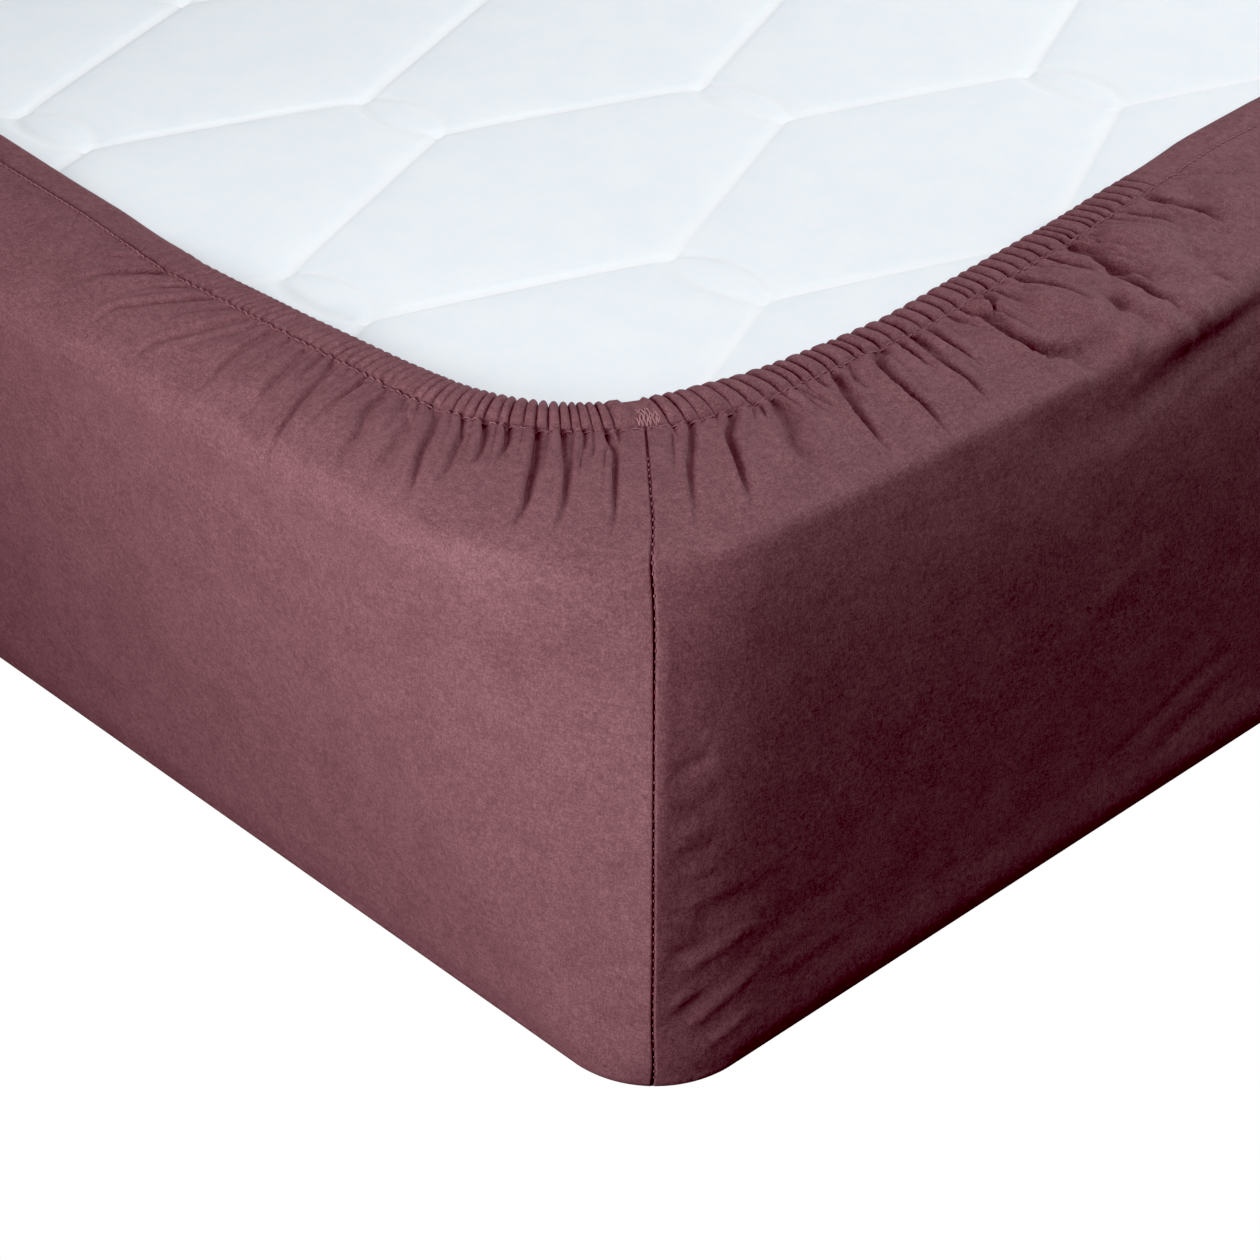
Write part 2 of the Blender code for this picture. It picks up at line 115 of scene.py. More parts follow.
MATTRESS_RADIUS = 0.081  # round of its quilted upper side at a corner
SIDE_BLEND = 0.045  # how softly the short side's height becomes the long side's

# The four corners going round: signs of X and Y, and which arm comes first.
CORNERS = ((1, -1, "short"), (1, 1, "long"), (-1, 1, "short"), (-1, -1, "long"))

# Gather folds, running down from the stitch line. Columns: depth in mm, width as a share of the
# profile's, then s and t in turn for each place that the deepest line runs through.
FOLDS = (
    (1.2, 0.55, -9, 0.5, -8.2, 8),
    (1.7, 0.6, -13, 0.5, -11, 9, -9.8, 16, -9.8, 26, -9, 42),
    (1.2, 0.55, -19, 0.5, -18.5, 11),
    (2, 0.75, -26, 1, -24.5, 12, -22.5, 25, -21, 42),
    (2.6, 0.9, -34, 1, -33, 12, -32, 20, -31.5, 30, -30, 42),
    (1.6, 0.7, -44, 0.5, -42, 10, -41.5, 17),
    (1.8, 0.75, -51.5, 0.5, -49, 10, -47.5, 20),
    (1.1, 0.6, -59, 0.5, -57.5, 5, -56, 13),
    (1.2, 0.9, -55.5, 10, -55, 20, -53, 33),
    (1.8, 0.8, -70, 0, -67.5, 8, -66, 14, -64, 25, -59, 40),
    (1.6, 0.8, -76, 10, -71, 26, -68, 40),
    (1.3, 0.6, -82, 2, -79, 12, -75, 22),
    (1.7, 0.8, -88, 5, -84, 17, -80, 25, -77, 38),
    (1.1, 0.6, -93, 0, -88, 4),
    (1.3, 0.6, -101, 2, -99, 8, -97, 18, -95, 27),
    (1.7, 0.7, -118, 1, -115, 6, -112, 11, -108, 20, -103, 32, -100, 40),
    (1.1, 0.6, -123.5, 1, -120.5, 9, -118, 16),
    (1.6, 0.75, -131, 2, -127.5, 11, -123, 22, -119, 32),
    (1.2, 0.6, -141, 1, -138, 8, -134, 18),
    (1.7, 0.8, -150, 1, -148, 9, -147, 19, -143, 31),
    (1, 0.55, -157, 1, -156, 8, -157, 14),
    (1.7, 0.95, -164, 2, -167, 13, -172, 24, -178, 33),
    (1.1, 0.6, -174, 1, -177, 8, -182, 16),
    (1.6, 0.85, -185, 1, -191, 9, -199, 19, -206, 27),
    (1.1, 0.6, -197, 1, -202, 7, -208, 13),
    (1.5, 0.95, -212, 0, -221, 11, -231, 21),
    (0.9, 0.7, -229, 1, -236, 8, -245, 15),
    (1.1, 0.55, 9, 0.5, 9.5, 7),
    (1.8, 0.75, 14, 0.5, 13.5, 5, 12, 15, 10, 25, 9.5, 40),
    (2.6, 0.85, 28, 0.5, 27, 5, 24, 12, 23, 20, 23, 37),
    (1.3, 0.55, 38, 0.5, 39.5, 3, 39, 9),
    (2.8, 0.75, 45, 0.5, 44, 5, 42, 15, 39.5, 24, 38.5, 31),
    (1.3, 0.6, 57, 3, 55.5, 9, 55, 14),
    (3.2, 1.0, 69.5, 4, 62, 17, 57, 26, 56, 32),
    (1.6, 0.65, 80, 1, 74, 9, 72, 14),
    (3.2, 0.95, 94, 1, 89, 4, 84, 12, 81, 20, 79.5, 28, 80.5, 35),
    (1.6, 0.65, 102, 2, 101, 8, 99.5, 18),
    (2.5, 0.85, 108.5, 2, 106, 10, 103, 20, 102.5, 28, 104, 33),
    (1.6, 0.7, 119, 1, 117, 6, 115, 14, 115, 19),
    (1.3, 0.6, 129, 1, 129, 9),
    (5.4, 1.5, 137, 10, 134.5, 20, 133, 27, 134.5, 34, 139, 39, 145, 42, 150, 43.5),
    (3, 0.9, 151, 2, 146, 10, 142, 14),
    (4.4, 1.3, 169, 2, 168, 8, 170, 18, 172, 24),
    (1.4, 0.7, 192, 1, 190.5, 6, 192, 13),
    (5, 1.5, 204, 2, 202, 7, 202, 14, 199, 20, 203, 28, 206, 32),
    (4.6, 1.4, 197, 24, 197.5, 38, 198, 44, 200, 47),
    (0.9, 0.6, 233, 2, 236, 7),
    (1.8, 0.9, 243, 1, 244, 10, 249, 17),
    (4.4, 1.4, 260, 1, 257, 6, 259, 14, 261, 19, 264, 26),
    (1.2, 1.2, 284, 0, 300, 17, 313, 26),
)

# Profile of a fold of width 1: distance from its deepest line in mm, share of its depth. The
# cloth comes up to a crisp edge, drops, and rises again more gently.
FOLD_PROFILE = ((-10, 0), (-6, 0.12), (-3.4, 0.3), (-2, 0.3), (-1.2, -0.3), (-0.6, -0.86), (0, -1),
                (1.2, -0.88), (3, -0.52), (5.5, -0.1), (8, 0.14), (10.5, 0.1), (14, 0))
FOLD_OVERHANG = 0.28  # how far the crisp edge leans over the trough, as a share of its depth
PROFILE_STEP = 0.1  # mm between the places at which the profile is kept
PROFILE_SOFTENING = 6.0  # how many of them its corners are softened over
FOLD_TOP_WIDTH = 0.80  # share of its width that a fold has at the top
FOLD_NARROWING = 0.32  # share that it loses on its way down
FOLD_SIZE = 1.15  # depth as built against the depths above
FOLD_DEEPENING = 0.35  # how much deeper a long fold gets on its way down
LONG_FOLD = 15  # length from which a fold does so, in mm
FOLD_HELD = 0.35  # share of its depth that a fold has where the stitches hold it
FOLD_HELD_REACH = 3  # mm from the stitch line over which they do

# Soft ridges (+) and grooves (-). Columns: height and half width in mm, then s and t in turn.
CREASES = (
    (1.4, 5, -205, 5, -225, 25),
    (1.2, 4, -172, 8, -180, 22),
    (1, 5, -136, 12, -130, 26, -124, 36),
    (0.9, 4, -156, 16, -153, 30),
    (-1, 3.2, -126, 30, -112, 40, -92, 46),
    (1.6, 3.4, 197, 46, 205, 56, 212, 62),
    (2.6, 3.4, 165, 57, 185, 45, 195, 33),
    (-1.5, 4, 228, 54, 232, 54),
    (4.8, 12, 160, 58, 205, 56, 245, 58, 290, 63, 335, 70, 400, 84),
    (-3, 6, 150, 75, 190, 71, 220, 70, 245, 69, 262, 69, 330, 84),
    (-0.9, 3, 176, 84, 210, 81, 262, 79, 320, 92),
    (1, 3, 188, 50, 196, 60, 200, 68),
    (-1.6, 3, 226, 30, 236, 40, 243, 52),
    (1.4, 5, 212, 28, 222, 40, 224, 52),
    (5.6, 11, 214, 8, 225, 20, 238, 34),
    (-1.8, 2.6, 209, 40, 222, 47, 240, 49),
    (-1.6, 2.2, 180, 30, 184, 42, 186, 52),
    (1.6, 3, 187, 30, 191, 44, 194, 56),
    (-1.4, 2.4, 240, 20, 252, 30, 262, 44),
    (2, 5, 140, 4, 146, 8, 150, 14),
    (1.4, 4, 208, 2, 211, 6, 214, 10),
    (4.4, 10, 154, 18, 170, 32, 180, 44),
    (4, 13, 272, 16, 290, 34, 312, 48),
    (2.6, 6.5, 178, 8, 186, 18, 190, 28),
    (-1.2, 9, 110, 66, 140, 69, 170, 70),
    (-0.9, 2.6, 161, 215, 190, 210, 238, 202),
    (-0.8, 2.4, 188, 229, 215, 223, 245, 216),
    (0.8, 3, 120, 150, 150, 138, 190, 130),
    (-0.8, 2.2, -9, 176, -3, 164),
    (-0.9, 1.8, -10, 209, -2, 203),
    (0.8, 1.5, 4, 174, 13, 166),
    (0.8, 1.5, 4, 209, 14, 201, 22, 193),
    (-0.7, 1.5, 3, 203, 12, 196),
    (0.8, 1.6, 6, 232, 15, 221, 22, 212),
    (-0.7, 1.5, 5, 225, 12, 217),
    (0.7, 1.6, 10, 240, 22, 228),
    (-0.5, 4, 12, 214, 26, 201, 38, 188),
    (0.7, 1.4, 2, 224, 9, 215),
    (0.6, 1.5, 2, 192, 9, 186),
    (0.4, 1.8, 16, 180, 26, 172),
    (0.4, 2, 26, 220, 38, 209),
    (-0.9, 1.8, 3, 150, 14, 142),
    (-0.9, 1.6, 3, 166, 13, 159),
    (1, 1.8, 4, 182, 18, 174),
    (-0.8, 1.8, 5, 192, 26, 180),
    (-0.9, 1.8, 3, 134, 11, 128),
    (-0.7, 1.6, 3, 178, 12, 172),
    (0.8, 1.8, 3, 158, 11, 152),
)

# Grooves of the gathered casing at the stitch line, as s without its sign, in mm.
LONG_GROOVES = (8.5, 14, 18.5, 24, 31, 37.5, 44, 50.5, 56.5, 61, 66, 73, 77.5, 86, 90, 97.5, 104, 111, 118,
                125, 132.5, 139, 147, 151, 158, 164, 171, 178, 185, 192, 199, 207, 212, 216, 225, 229, 236,
                242, 250, 257, 265, 272, 280)
SHORT_GROOVES = (9, 12.5, 16, 19.5, 22.5, 26, 30, 34, 38, 43, 46.5, 51.5, 55, 59, 63, 67.5, 71.5, 76, 80,
                 84, 88.5, 92.5, 97, 101, 105.5, 110, 114.5, 119, 123, 128, 132.5, 137, 141.5, 146, 150.5,
                 155, 159.5, 163.5, 167, 170.5, 174, 177.5, 181, 184.5, 188, 192, 196.5, 201, 206, 211, 217,
                 224)

# Height of the ribs in mm, against s.
RIB_HEIGHT = ((-250, 0), (-236, 0.4), (-215, 0.8), (-180, 1.3), (-120, 1.6), (-60, 1.8), (-12, 1.9),
              (12, 2), (60, 2.6), (150, 2.9), (250, 2.7), (280, 1.6), (290, 0))

# How the gathers fan out below the stitch line: s, and how far s changes for each mm of t.
FAN = ((-230, -0.85), (-190, -0.6), (-160, -0.3), (-145, 0.15), (-118, 0.42), (-88, 0.3), (-60, 0.24),
       (-30, 0.08), (0, 0), (14, -0.12), (45, -0.22), (75, -0.42), (95, -0.35), (110, -0.15), (160, 0),
       (230, 0.2), (285, 0.9))

# Section of the casing. Columns: distance beyond the stitch line, height, share of the ribs,
# share of the rim's rise.
CASING_SECTION = (
    (-0.0010, 0.1972, 0.0, 0.0), (0.0000, 0.1988, 0.35, 0.0), (0.0012, 0.1996, 0.7, 0.1),
    (0.0028, 0.2001, 1.0, 0.35), (0.0050, 0.2003, 1.0, 0.6), (0.0075, 0.2003, 1.0, 0.8),
    (0.0100, 0.2001, 1.0, 1.0), (0.0122, 0.1998, 1.0, 1.0), (0.0140, 0.1992, 1.0, 1.0),
    (0.0154, 0.1984, 0.9, 0.95), (0.0163, 0.1974, 0.7, 0.8), (0.0165, 0.1964, 0.3, 0.3),
    (0.0158, 0.1958, 0.0, 0.0), (0.0080, 0.1957, 0.0, 0.0), (0.0000, 0.1958, 0.0, 0.0),
)

# Height in mm of the casing's crest, against s.
CREST = ((-363, 199.6), (-300, 198.2), (-250, 197.6), (-220, 199.3), (-190, 199), (-150, 199.4),
         (-100, 200.8), (-80, 202), (-20, 202.2), (0, 203), (28, 203.5), (40, 202.6), (60, 200.6),
         (90, 199.4), (200, 199.1), (240, 198.6), (290, 197.8), (330, 199.4), (370, 200.6))
PLAIN_CREST = 200.0

# Lean of the ribs: s, how far the stitch-line end is past the inner end, in mm.
RIB_LEAN = ((-280, 0), (-200, 0), (-100, 1.5), (-50, 3), (-15, 4), (44, 4), (57, 0), (70, -2),
            (150, -2), (200, 0))

# The casing's own seam: s where its flat, sunken patch begins and ends, and its depth in mm.
PATCH = (-3.2, 6.6, 0.9)

# Rows of zigzag stitches on that patch. Columns: s where it begins and ends, and the row's two
# edges as distances past the stitch line, all in mm, then how many strokes it has.
TACK_ROWS = ((-2.4, 6.2, 0.9, 3.4, 13), (6.0, -1.2, 2.8, 5.6, 9), (-2.0, 2.6, 5.0, 7.4, 5))

# Camera, found from the photograph's base lines and vertical seam
CAMERA_PLACE = Vector((0.9261, -1.4431, 0.5971))
CAMERA_AZIMUTH = 46.42
CAMERA_ELEVATION = 31.77
CAMERA_LENS = 79.14
CAMERA_SENSOR = 36.0

# Quilting: one lens-shaped eye from the first to the second place, and its repeats
EYE = ((0.1997, -0.918), (0.048, -0.002))
EYE_WIDTH = 0.46  # its width as a share of its length
QUILT_A = (0.082, 0.108)
QUILT_B = (0.1114, -0.1259)
LATTICE = np.array((QUILT_A, QUILT_B)).T

# Relief in mm along the quilting's lines, then round its eyes: depth and width of the groove,
# depth and reach of the hollow beside it, and how white the stitching with its painted highlight is and how
# wide
QUILT_DIPS = ((1.0, 1.7, 2.0, 12.0, 1.0, 1.5), (0.9, 1.6, 0.9, 8.0, 0.7, 1.2))
QUILT_FADE = 0.010  # distance from the border over which the relief begins

# Points of the upper side's mesh, in metres
QUILT_STEP = 0.004  # from one to the next along the quilting
QUILT_OFFSETS = (-0.0052, -0.0026, 0.0, 0.0026, 0.0052)
WIDE_STEP = 0.009  # between the quilting
WIDE_CLEAR = 0.0075  # how far those keep from the quilting
QUILT_BORDER = 0.003  # how far all keep from the border
QUILT_MERGE = 0.0012  # points nearer than this are one


def half_side(side):
    return (WIDTH if side == "short" else LENGTH) / 2


def read_table(table, values):
    """A two-column table read at an array of places."""
    return np.interp(values, [row[0] for row in table], [row[1] for row in table])


def corner_plan(q, short_inset, long_inset, corner_round):
    """Plan points near a corner, as distances inward from the long and short sides.

    q is the distance from the seam, negative on the short side and positive on the long
    side. corner_round holds the seam's depth from each side and the degrees turned.
    """
    short_depth, long_depth, short_turn, long_turn = corner_round
    short_turn, long_turn = np.radians(short_turn), np.radians(long_turn)
    short_radius = short_depth / (1 - np.cos(short_turn))
    long_radius = long_depth / (1 - np.cos(long_turn))
    short_start = long_inset + long_depth + short_radius * np.sin(short_turn)
    long_start = short_inset + short_depth + long_radius * np.sin(long_turn)
    short_angle = short_turn * np.clip(1 + q / short_start, 0, 1)
    long_angle = long_turn * np.clip(1 - q / long_start, 0, 1)
    short_side = q < 0
    across = np.where(short_side, short_start - short_radius * np.sin(short_angle),
                      long_inset + long_radius * (1 - np.cos(long_angle)))
    along = np.where(short_side, short_inset + short_radius * (1 - np.cos(short_angle)),
                     long_start - long_radius * np.sin(long_angle))
    across = np.where(-q >= short_start, -q, across)
    along = np.where(q >= long_start, q, along)
    return across, along


def even_round(radius, turn):
    """The round of an even curve that turns by so many degrees before the seam."""
    short_share = 1 - math.cos(math.radians(turn))
    long_share = 1 - math.sin(math.radians(turn))
    return radius * short_share, radius * long_share, turn, 90 - turn


def corner_round_at(height, inward=0.0):
    """The wall's corner round at a height, as it is some way inside the cloth."""
    heights = [row[0] for row in CORNER_ROUNDS]
    short_depth, long_depth, short_turn, long_turn = (
        float(np.interp(height, heights, column)) for column in list(zip(*CORNER_ROUNDS))[1:])
    facing = math.radians(short_turn + 90 - long_turn) / 2
    half_crease = math.radians(90 - short_turn - long_turn) / 2
    short_depth -= inward * (1 - math.cos(facing) / math.cos(half_crease))
    long_depth -= inward * (1 - math.sin(facing) / math.cos(half_crease))
    return short_depth, long_depth, short_turn, long_turn


def stitch_insets(q):
    distance = np.abs(q)
    return read_table(STITCH_SHORT, distance), read_table(STITCH_LONG, distance)


def hem_plan(q, beyond):
    """Plan points of the hem at a distance past the stitch line."""
    stitch_short, stitch_long = stitch_insets(q)
    curve = even_round(STITCH_RADIUS - beyond, STITCH_TURN)
    return corner_plan(q, stitch_short + beyond, stitch_long + beyond, curve)


def stitch_table(side):
    """Distances from the seam along the stitch line, against q on one arm."""
    sign = -1 if side == "short" else 1
    qs = np.linspace(0, half_side(side), STITCH_TABLE_SIZE)
    steps = np.hypot(*np.diff(hem_plan(sign * qs, 0.0)))
    return qs, np.concatenate(((0.0,), np.cumsum(steps)))


STITCH_TABLES = {side: stitch_table(side) for side in ("short", "long")}


def q_to_s(q):
    """Signed distance along the stitch line at q."""
    short = -np.interp(-q, *STITCH_TABLES["short"])
    long = np.interp(q, *STITCH_TABLES["long"])
    return np.where(q < 0, short, long)


def s_to_q(s):
    """Signed q where the stitch line has run the signed distance s."""
    short_q, short_s = STITCH_TABLES["short"]
    long_q, long_s = STITCH_TABLES["long"]
    return np.where(s < 0, -np.interp(-s, short_s, short_q), np.interp(s, long_s, long_q))


def arm_end(side):
    """Length of one arm along the stitch line, in mm."""
    return STITCH_TABLES[side][1][-1] / MM


class Columns:
    """Columns round the whole sheet: corner number, q, s and place in the round.

    arm_positions gives the columns of one arm of a corner, as distances from the seam
    along the stitch line in mm.
    """

    def __init__(self, arm_positions):
        entries = []
        start = 0.0
        for corner, (_, _, first) in enumerate(CORNERS):
            second = "long" if first == "short" else "short"
            seam = start + half_side(first)
            for side, way in ((first, -1), (second, 1)):
                sign = -1 if side == "short" else 1
                for distance in arm_positions(corner, side):
                    q = float(s_to_q(sign * distance * MM))
                    entries.append((seam + way * abs(q), corner, q, way * sign))
            entries.append((seam, corner, 0.0, way * sign))
            start = seam + half_side(second)
        entries.sort()
        # way is +1 where s grows going round
        self.marks, self.corner, self.q, self.way = map(np.array, zip(*entries))
        self.s = q_to_s(self.q) / MM
        self.signs = np.array([CORNERS[corner][:2] for corner in self.corner]).T

    def place(self, across, along, height):
        """World points from distances inward from each corner's walls."""
        x, y = self.signs[0] * (WIDTH / 2 - across), self.signs[1] * (LENGTH / 2 - along)
        return np.stack(np.broadcast_arrays(x, y, height), -1)


def blended_height(q, short_height, long_height):
    share = 0.5 + 0.5 * np.tanh(q / SIDE_BLEND)
    return short_height + (long_height - short_height) * share


def cloth_rows(q):
    """Every named row of the cloth from the stitch line down: rows x 8 x columns."""
    stitch_short, stitch_long = stitch_insets(q)
    shoulder = SHELL_ROWS[0]
    shouldered = corner_round_at((shoulder[2] + shoulder[3]) / 2)
    stitched = even_round(STITCH_RADIUS, STITCH_TURN)
    rows = []
    for share, height in WRAP_ROWS:
        curve = tuple(start + (end - start) * share for start, end in zip(shouldered, stitched))
        rows.append((shoulder[0] + (stitch_short - shoulder[0]) * share,
                     shoulder[1] + (stitch_long - shoulder[1]) * share, height, height) + curve)
    for row in SHELL_ROWS:
        rows.append(row + corner_round_at((row[2] + row[3]) / 2))
    return np.array([[value + 0 * q for value in row] for row in rows])


def smooth_between(table, at):
    """The rows of a table joined by smooth curves, read at row numbers such as 2.5."""
    steps = np.hypot(np.diff(table[:, 1], axis=0), np.diff(table[:, 3], axis=0)).mean(1)
    steps = (steps + np.hypot(np.diff(table[:, 0], axis=0), np.diff(table[:, 2], axis=0)).mean(1)) / 2
    keys = np.concatenate(((0.0,), np.cumsum(steps)))
    slopes = np.gradient(table, keys, axis=0)
    places = np.interp(at, np.arange(len(table)), keys)
    low = np.clip(np.searchsorted(keys, places, side="right") - 1, 0, len(keys) - 2)
    span = (keys[low + 1] - keys[low])[:, None, None]
    x = ((places - keys[low])[:, None, None]) / span
    return ((2 * x**3 - 3 * x**2 + 1) * table[low] + (x**3 - 2 * x**2 + x) * span * slopes[low]
            + (3 * x**2 - 2 * x**3) * table[low + 1] + (x**3 - x**2) * span * slopes[low + 1])


def plain_cloth(columns, at):
    """Smooth cloth without folds: world points, rows x columns x 3."""
    values = smooth_between(cloth_rows(columns.q), at)
    across, along = corner_plan(columns.q, values[:, 0], values[:, 1], values[:, 4:8].swapaxes(0, 1))
    height = blended_height(columns.q, values[:, 2], values[:, 3])
    return columns.place(across, along, height)


def unit(vectors):
    return vectors / np.maximum(np.linalg.norm(vectors, axis=-1, keepdims=True), 1e-9)


def outward(points):
    """Outward unit directions of a grid of points that closes on itself sideways."""
    sideways = np.roll(points, -1, axis=1) - np.roll(points, 1, axis=1)
    return unit(np.cross(np.gradient(points, axis=0), sideways))


def down_the_cloth(points):
    """Distance t of each point from the top row, in mm."""
    steps = np.linalg.norm(np.diff(points, axis=0), axis=-1)
    return np.concatenate((np.zeros((1, points.shape[1])), np.cumsum(steps, axis=0))) / MM


def eased(x):
    x = np.clip(x, 0, 1)
    return x * x * (3 - 2 * x)


def profile_table():
    """The fold profile as a fine table with its corners softened."""
    fine = np.arange(FOLD_PROFILE[0][0] - 2, FOLD_PROFILE[-1][0] + 2, PROFILE_STEP)
    plain = read_table(FOLD_PROFILE, fine)
    kernel = np.exp(-(np.arange(-15, 16) / PROFILE_SOFTENING) ** 2)
    return fine, np.convolve(plain, kernel / kernel.sum(), mode="same")


PROFILE_X, PROFILE_Y = profile_table()


def one_fold(s, t, depth, width, path_s, path_t):
    """Relief of one fold, and how far its edge leans over, both in mm."""
    middle = np.interp(t, path_t, path_s)
    lean = np.interp(t, (path_t[1:] + path_t[:-1]) / 2, np.diff(path_s) / np.diff(path_t))
    length = path_t[-1] - path_t[0]
    progress = np.clip((t - path_t[0]) / length, 0, 1)
    spread = width * (FOLD_TOP_WIDTH - FOLD_NARROWING * progress)
    off = (s - middle) / np.sqrt(1 + lean**2) / spread
    fade_in = eased((t - path_t[0] + 3) / 4)
    fade_out = eased((path_t[-1] + 3 + 0.4 * length - t) / (6 + 0.8 * length))
    held = FOLD_HELD + (1 - FOLD_HELD) * eased(t / FOLD_HELD_REACH)
    deepening = 1 + FOLD_DEEPENING * progress * (length > LONG_FOLD)
    size = FOLD_SIZE * depth * deepening * fade_in * fade_out * held
    overhang = FOLD_OVERHANG * size * np.exp(-((off + 1.9) / 1.5) ** 2)
    return size * np.interp(off, PROFILE_X, PROFILE_Y, left=0, right=0), overhang


PATH_END = 0.15  # share of a crease's height that is left at its very ends
PATH_TAPER = 0.3  # share of its length over which it tapers


def distance_to_path(s, t, path):
    """Distance in mm from places on the cloth to a line of places, and the line's taper there."""
    best = np.full(np.broadcast(s, t).shape, 1e9)
    along = np.zeros_like(best)
    passed = 0.0
    for (s0, t0), (s1, t1) in zip(path, path[1:]):
        run, fall = s1 - s0, t1 - t0
        length = math.hypot(run, fall)
        share = np.clip(((s - s0) * run + (t - t0) * fall) / length**2, 0, 1)
        away = np.hypot(s - s0 - share * run, t - t0 - share * fall)
        along = np.where(away < best, passed + share * length, along)
        best = np.minimum(best, away)
        passed += length
    reach = PATH_TAPER * passed
    return best, eased(PATH_END + along / reach) * eased(PATH_END + (passed - along) / reach)


FOLD_REACH = 25  # mm from a fold's path past which it changes nothing
UNSEEN_MOVE = (-3, 3)  # mm by which a fold moves at the corners that the photograph doesn't show
UNSEEN_SCALE = (0.7, 1.15)


def relief(columns, t):
    """How far the cloth stands out from its plain shape and leans along it, in mm."""
    total = np.zeros_like(t)
    leaning = np.zeros_like(t)
    for corner in range(4):
        mine = columns.corner == corner
        s = columns.s[mine]
        down = t[:, mine]
        rng = np.random.default_rng(40 + corner)
        part = np.zeros_like(down)
        shift = np.zeros_like(down)
        for depth, width, *places in FOLDS:
            move, scale = 0.0, 1.0
            if corner:
                move, scale = rng.uniform(*UNSEEN_MOVE), rng.uniform(*UNSEEN_SCALE)
            path_s, path_t = np.array(places[::2]) + move, np.array(places[1::2])
            near = (s > path_s.min() - FOLD_REACH) & (s < path_s.max() + FOLD_REACH)
            lift, lean = one_fold(s[near][None, :], down[:, near], depth * scale, width, path_s, path_t)
            part[:, near] += lift
            shift[:, near] += lean
        for height, half_width, *places in CREASES:
            away, taper = distance_to_path(s[None, :], down, list(zip(places[::2], places[1::2])))
            part += height * taper * np.exp(-(away / half_width) ** 2)
        total[:, mine] = part
        leaning[:, mine] = shift
    return total, leaning


def groove_places(corner):
    """Signed places of one corner's grooves in mm. Unseen corners vary a little."""
    grooves = np.array(sorted([-place for place in SHORT_GROOVES] + list(LONG_GROOVES)))
    if corner:
        grooves = grooves + np.random.default_rng(7 + corner).uniform(-0.7, 0.7, len(grooves))
    return grooves


GROOVES = [groove_places(corner) for corner in range(4)]

RIB_PITCH = (3.0, 6.0)  # narrowest and widest rib that a groove is shaped for, in mm
RIB_ROUNDNESS = 0.97  # 1 would be a half circle


def rib_profile(corner, s):
    """0 on a rib's crest and 1 in the groove beside it, and the number of the nearest groove."""
    grooves = GROOVES[corner]
    index = np.clip(np.searchsorted(grooves, s), 1, len(grooves) - 1)
    low, high = grooves[index - 1], grooves[index]
    nearest = np.where(s - low < high - s, index - 1, index)
    pitch = np.clip(high - low, *RIB_PITCH)
    off = np.clip(1 - 2 * np.abs(s - grooves[nearest]) / pitch, 0, 1)
    return (1 - np.sqrt(1 - (RIB_ROUNDNESS * off) ** 2)) / (1 - math.sqrt(1 - RIB_ROUNDNESS**2)), nearest


# Puckers that run on from the grooves, and their long streaks: reach in mm, and depth as a share
# of the rib's height.
PUCKER_REACH = (1.8, 6.5)
PUCKER_SIZE = 0.55
STREAK_REACH = (14, 44)
STREAK_SIZE = (0.1, 1.05)


def puckers(columns, t):
    """Where the ribs run on past the stitch line, shortly and as long faint streaks, in mm."""
    total = np.zeros_like(t)
    for corner in range(4):
        mine = columns.corner == corner
        s = columns.s[mine][None, :]
        down = t[:, mine]
        rng = np.random.default_rng(20 + corner)
        reach, far, size = (rng.uniform(*span, len(GROOVES[corner]))
                            for span in (PUCKER_REACH, STREAK_REACH, STREAK_SIZE))
        source = s - read_table(FAN, s) * down
        groove, number = rib_profile(corner, source)
        near = PUCKER_SIZE * groove * np.exp(-(down / reach[number]) ** 2)
        wide = size[number] * groove * eased(down / 4) * eased((far[number] + 6 - down) / far[number])
        total[:, mine] = -read_table(RIB_HEIGHT, source) * (near + wide)
    return total


SEAM_RIDGE = 11.0  # how far the tent at the seam reaches to each side, in mm
SEAM_HEIGHT = 0.5  # how far it stands up, in mm
SEAM_DIP_REACH = (8.0, 4.0)  # how far the dip reaches before the seam and after it, in mm
SEAM_GROOVE_WIDTH = 0.36

# Depth of the dip and of the groove in mm, against height
SEAM_DIP = ((0, 0), (0.06, 0.15), (0.11, 0.6), (0.14, 1.1), (0.165, 0.9), (0.18, 0.2), (0.2, 0))
SEAM_GROOVE = ((0.0, 2.6), (0.03, 2.2), (0.08, 1.8), (0.2, 1.7))


def seam_relief(away, t, height):
    """The seam's groove, the slight tent of its doubled cloth and the dip before it, in mm."""
    tent = SEAM_HEIGHT * np.maximum(0, 1 - np.abs(away) / SEAM_RIDGE) ** 1.5
    reach = np.where(away < 0, *SEAM_DIP_REACH)
    dip = read_table(SEAM_DIP, height) * np.maximum(0, 1 - np.abs(away) / reach) ** 1.4
    groove = read_table(SEAM_GROOVE, height) * np.exp(-(away / SEAM_GROOVE_WIDTH) ** 2) + dip
    start = eased((t - 2) / 30)
    foot = eased((height - 0.010) / 0.030)
    return tent * start * foot - groove


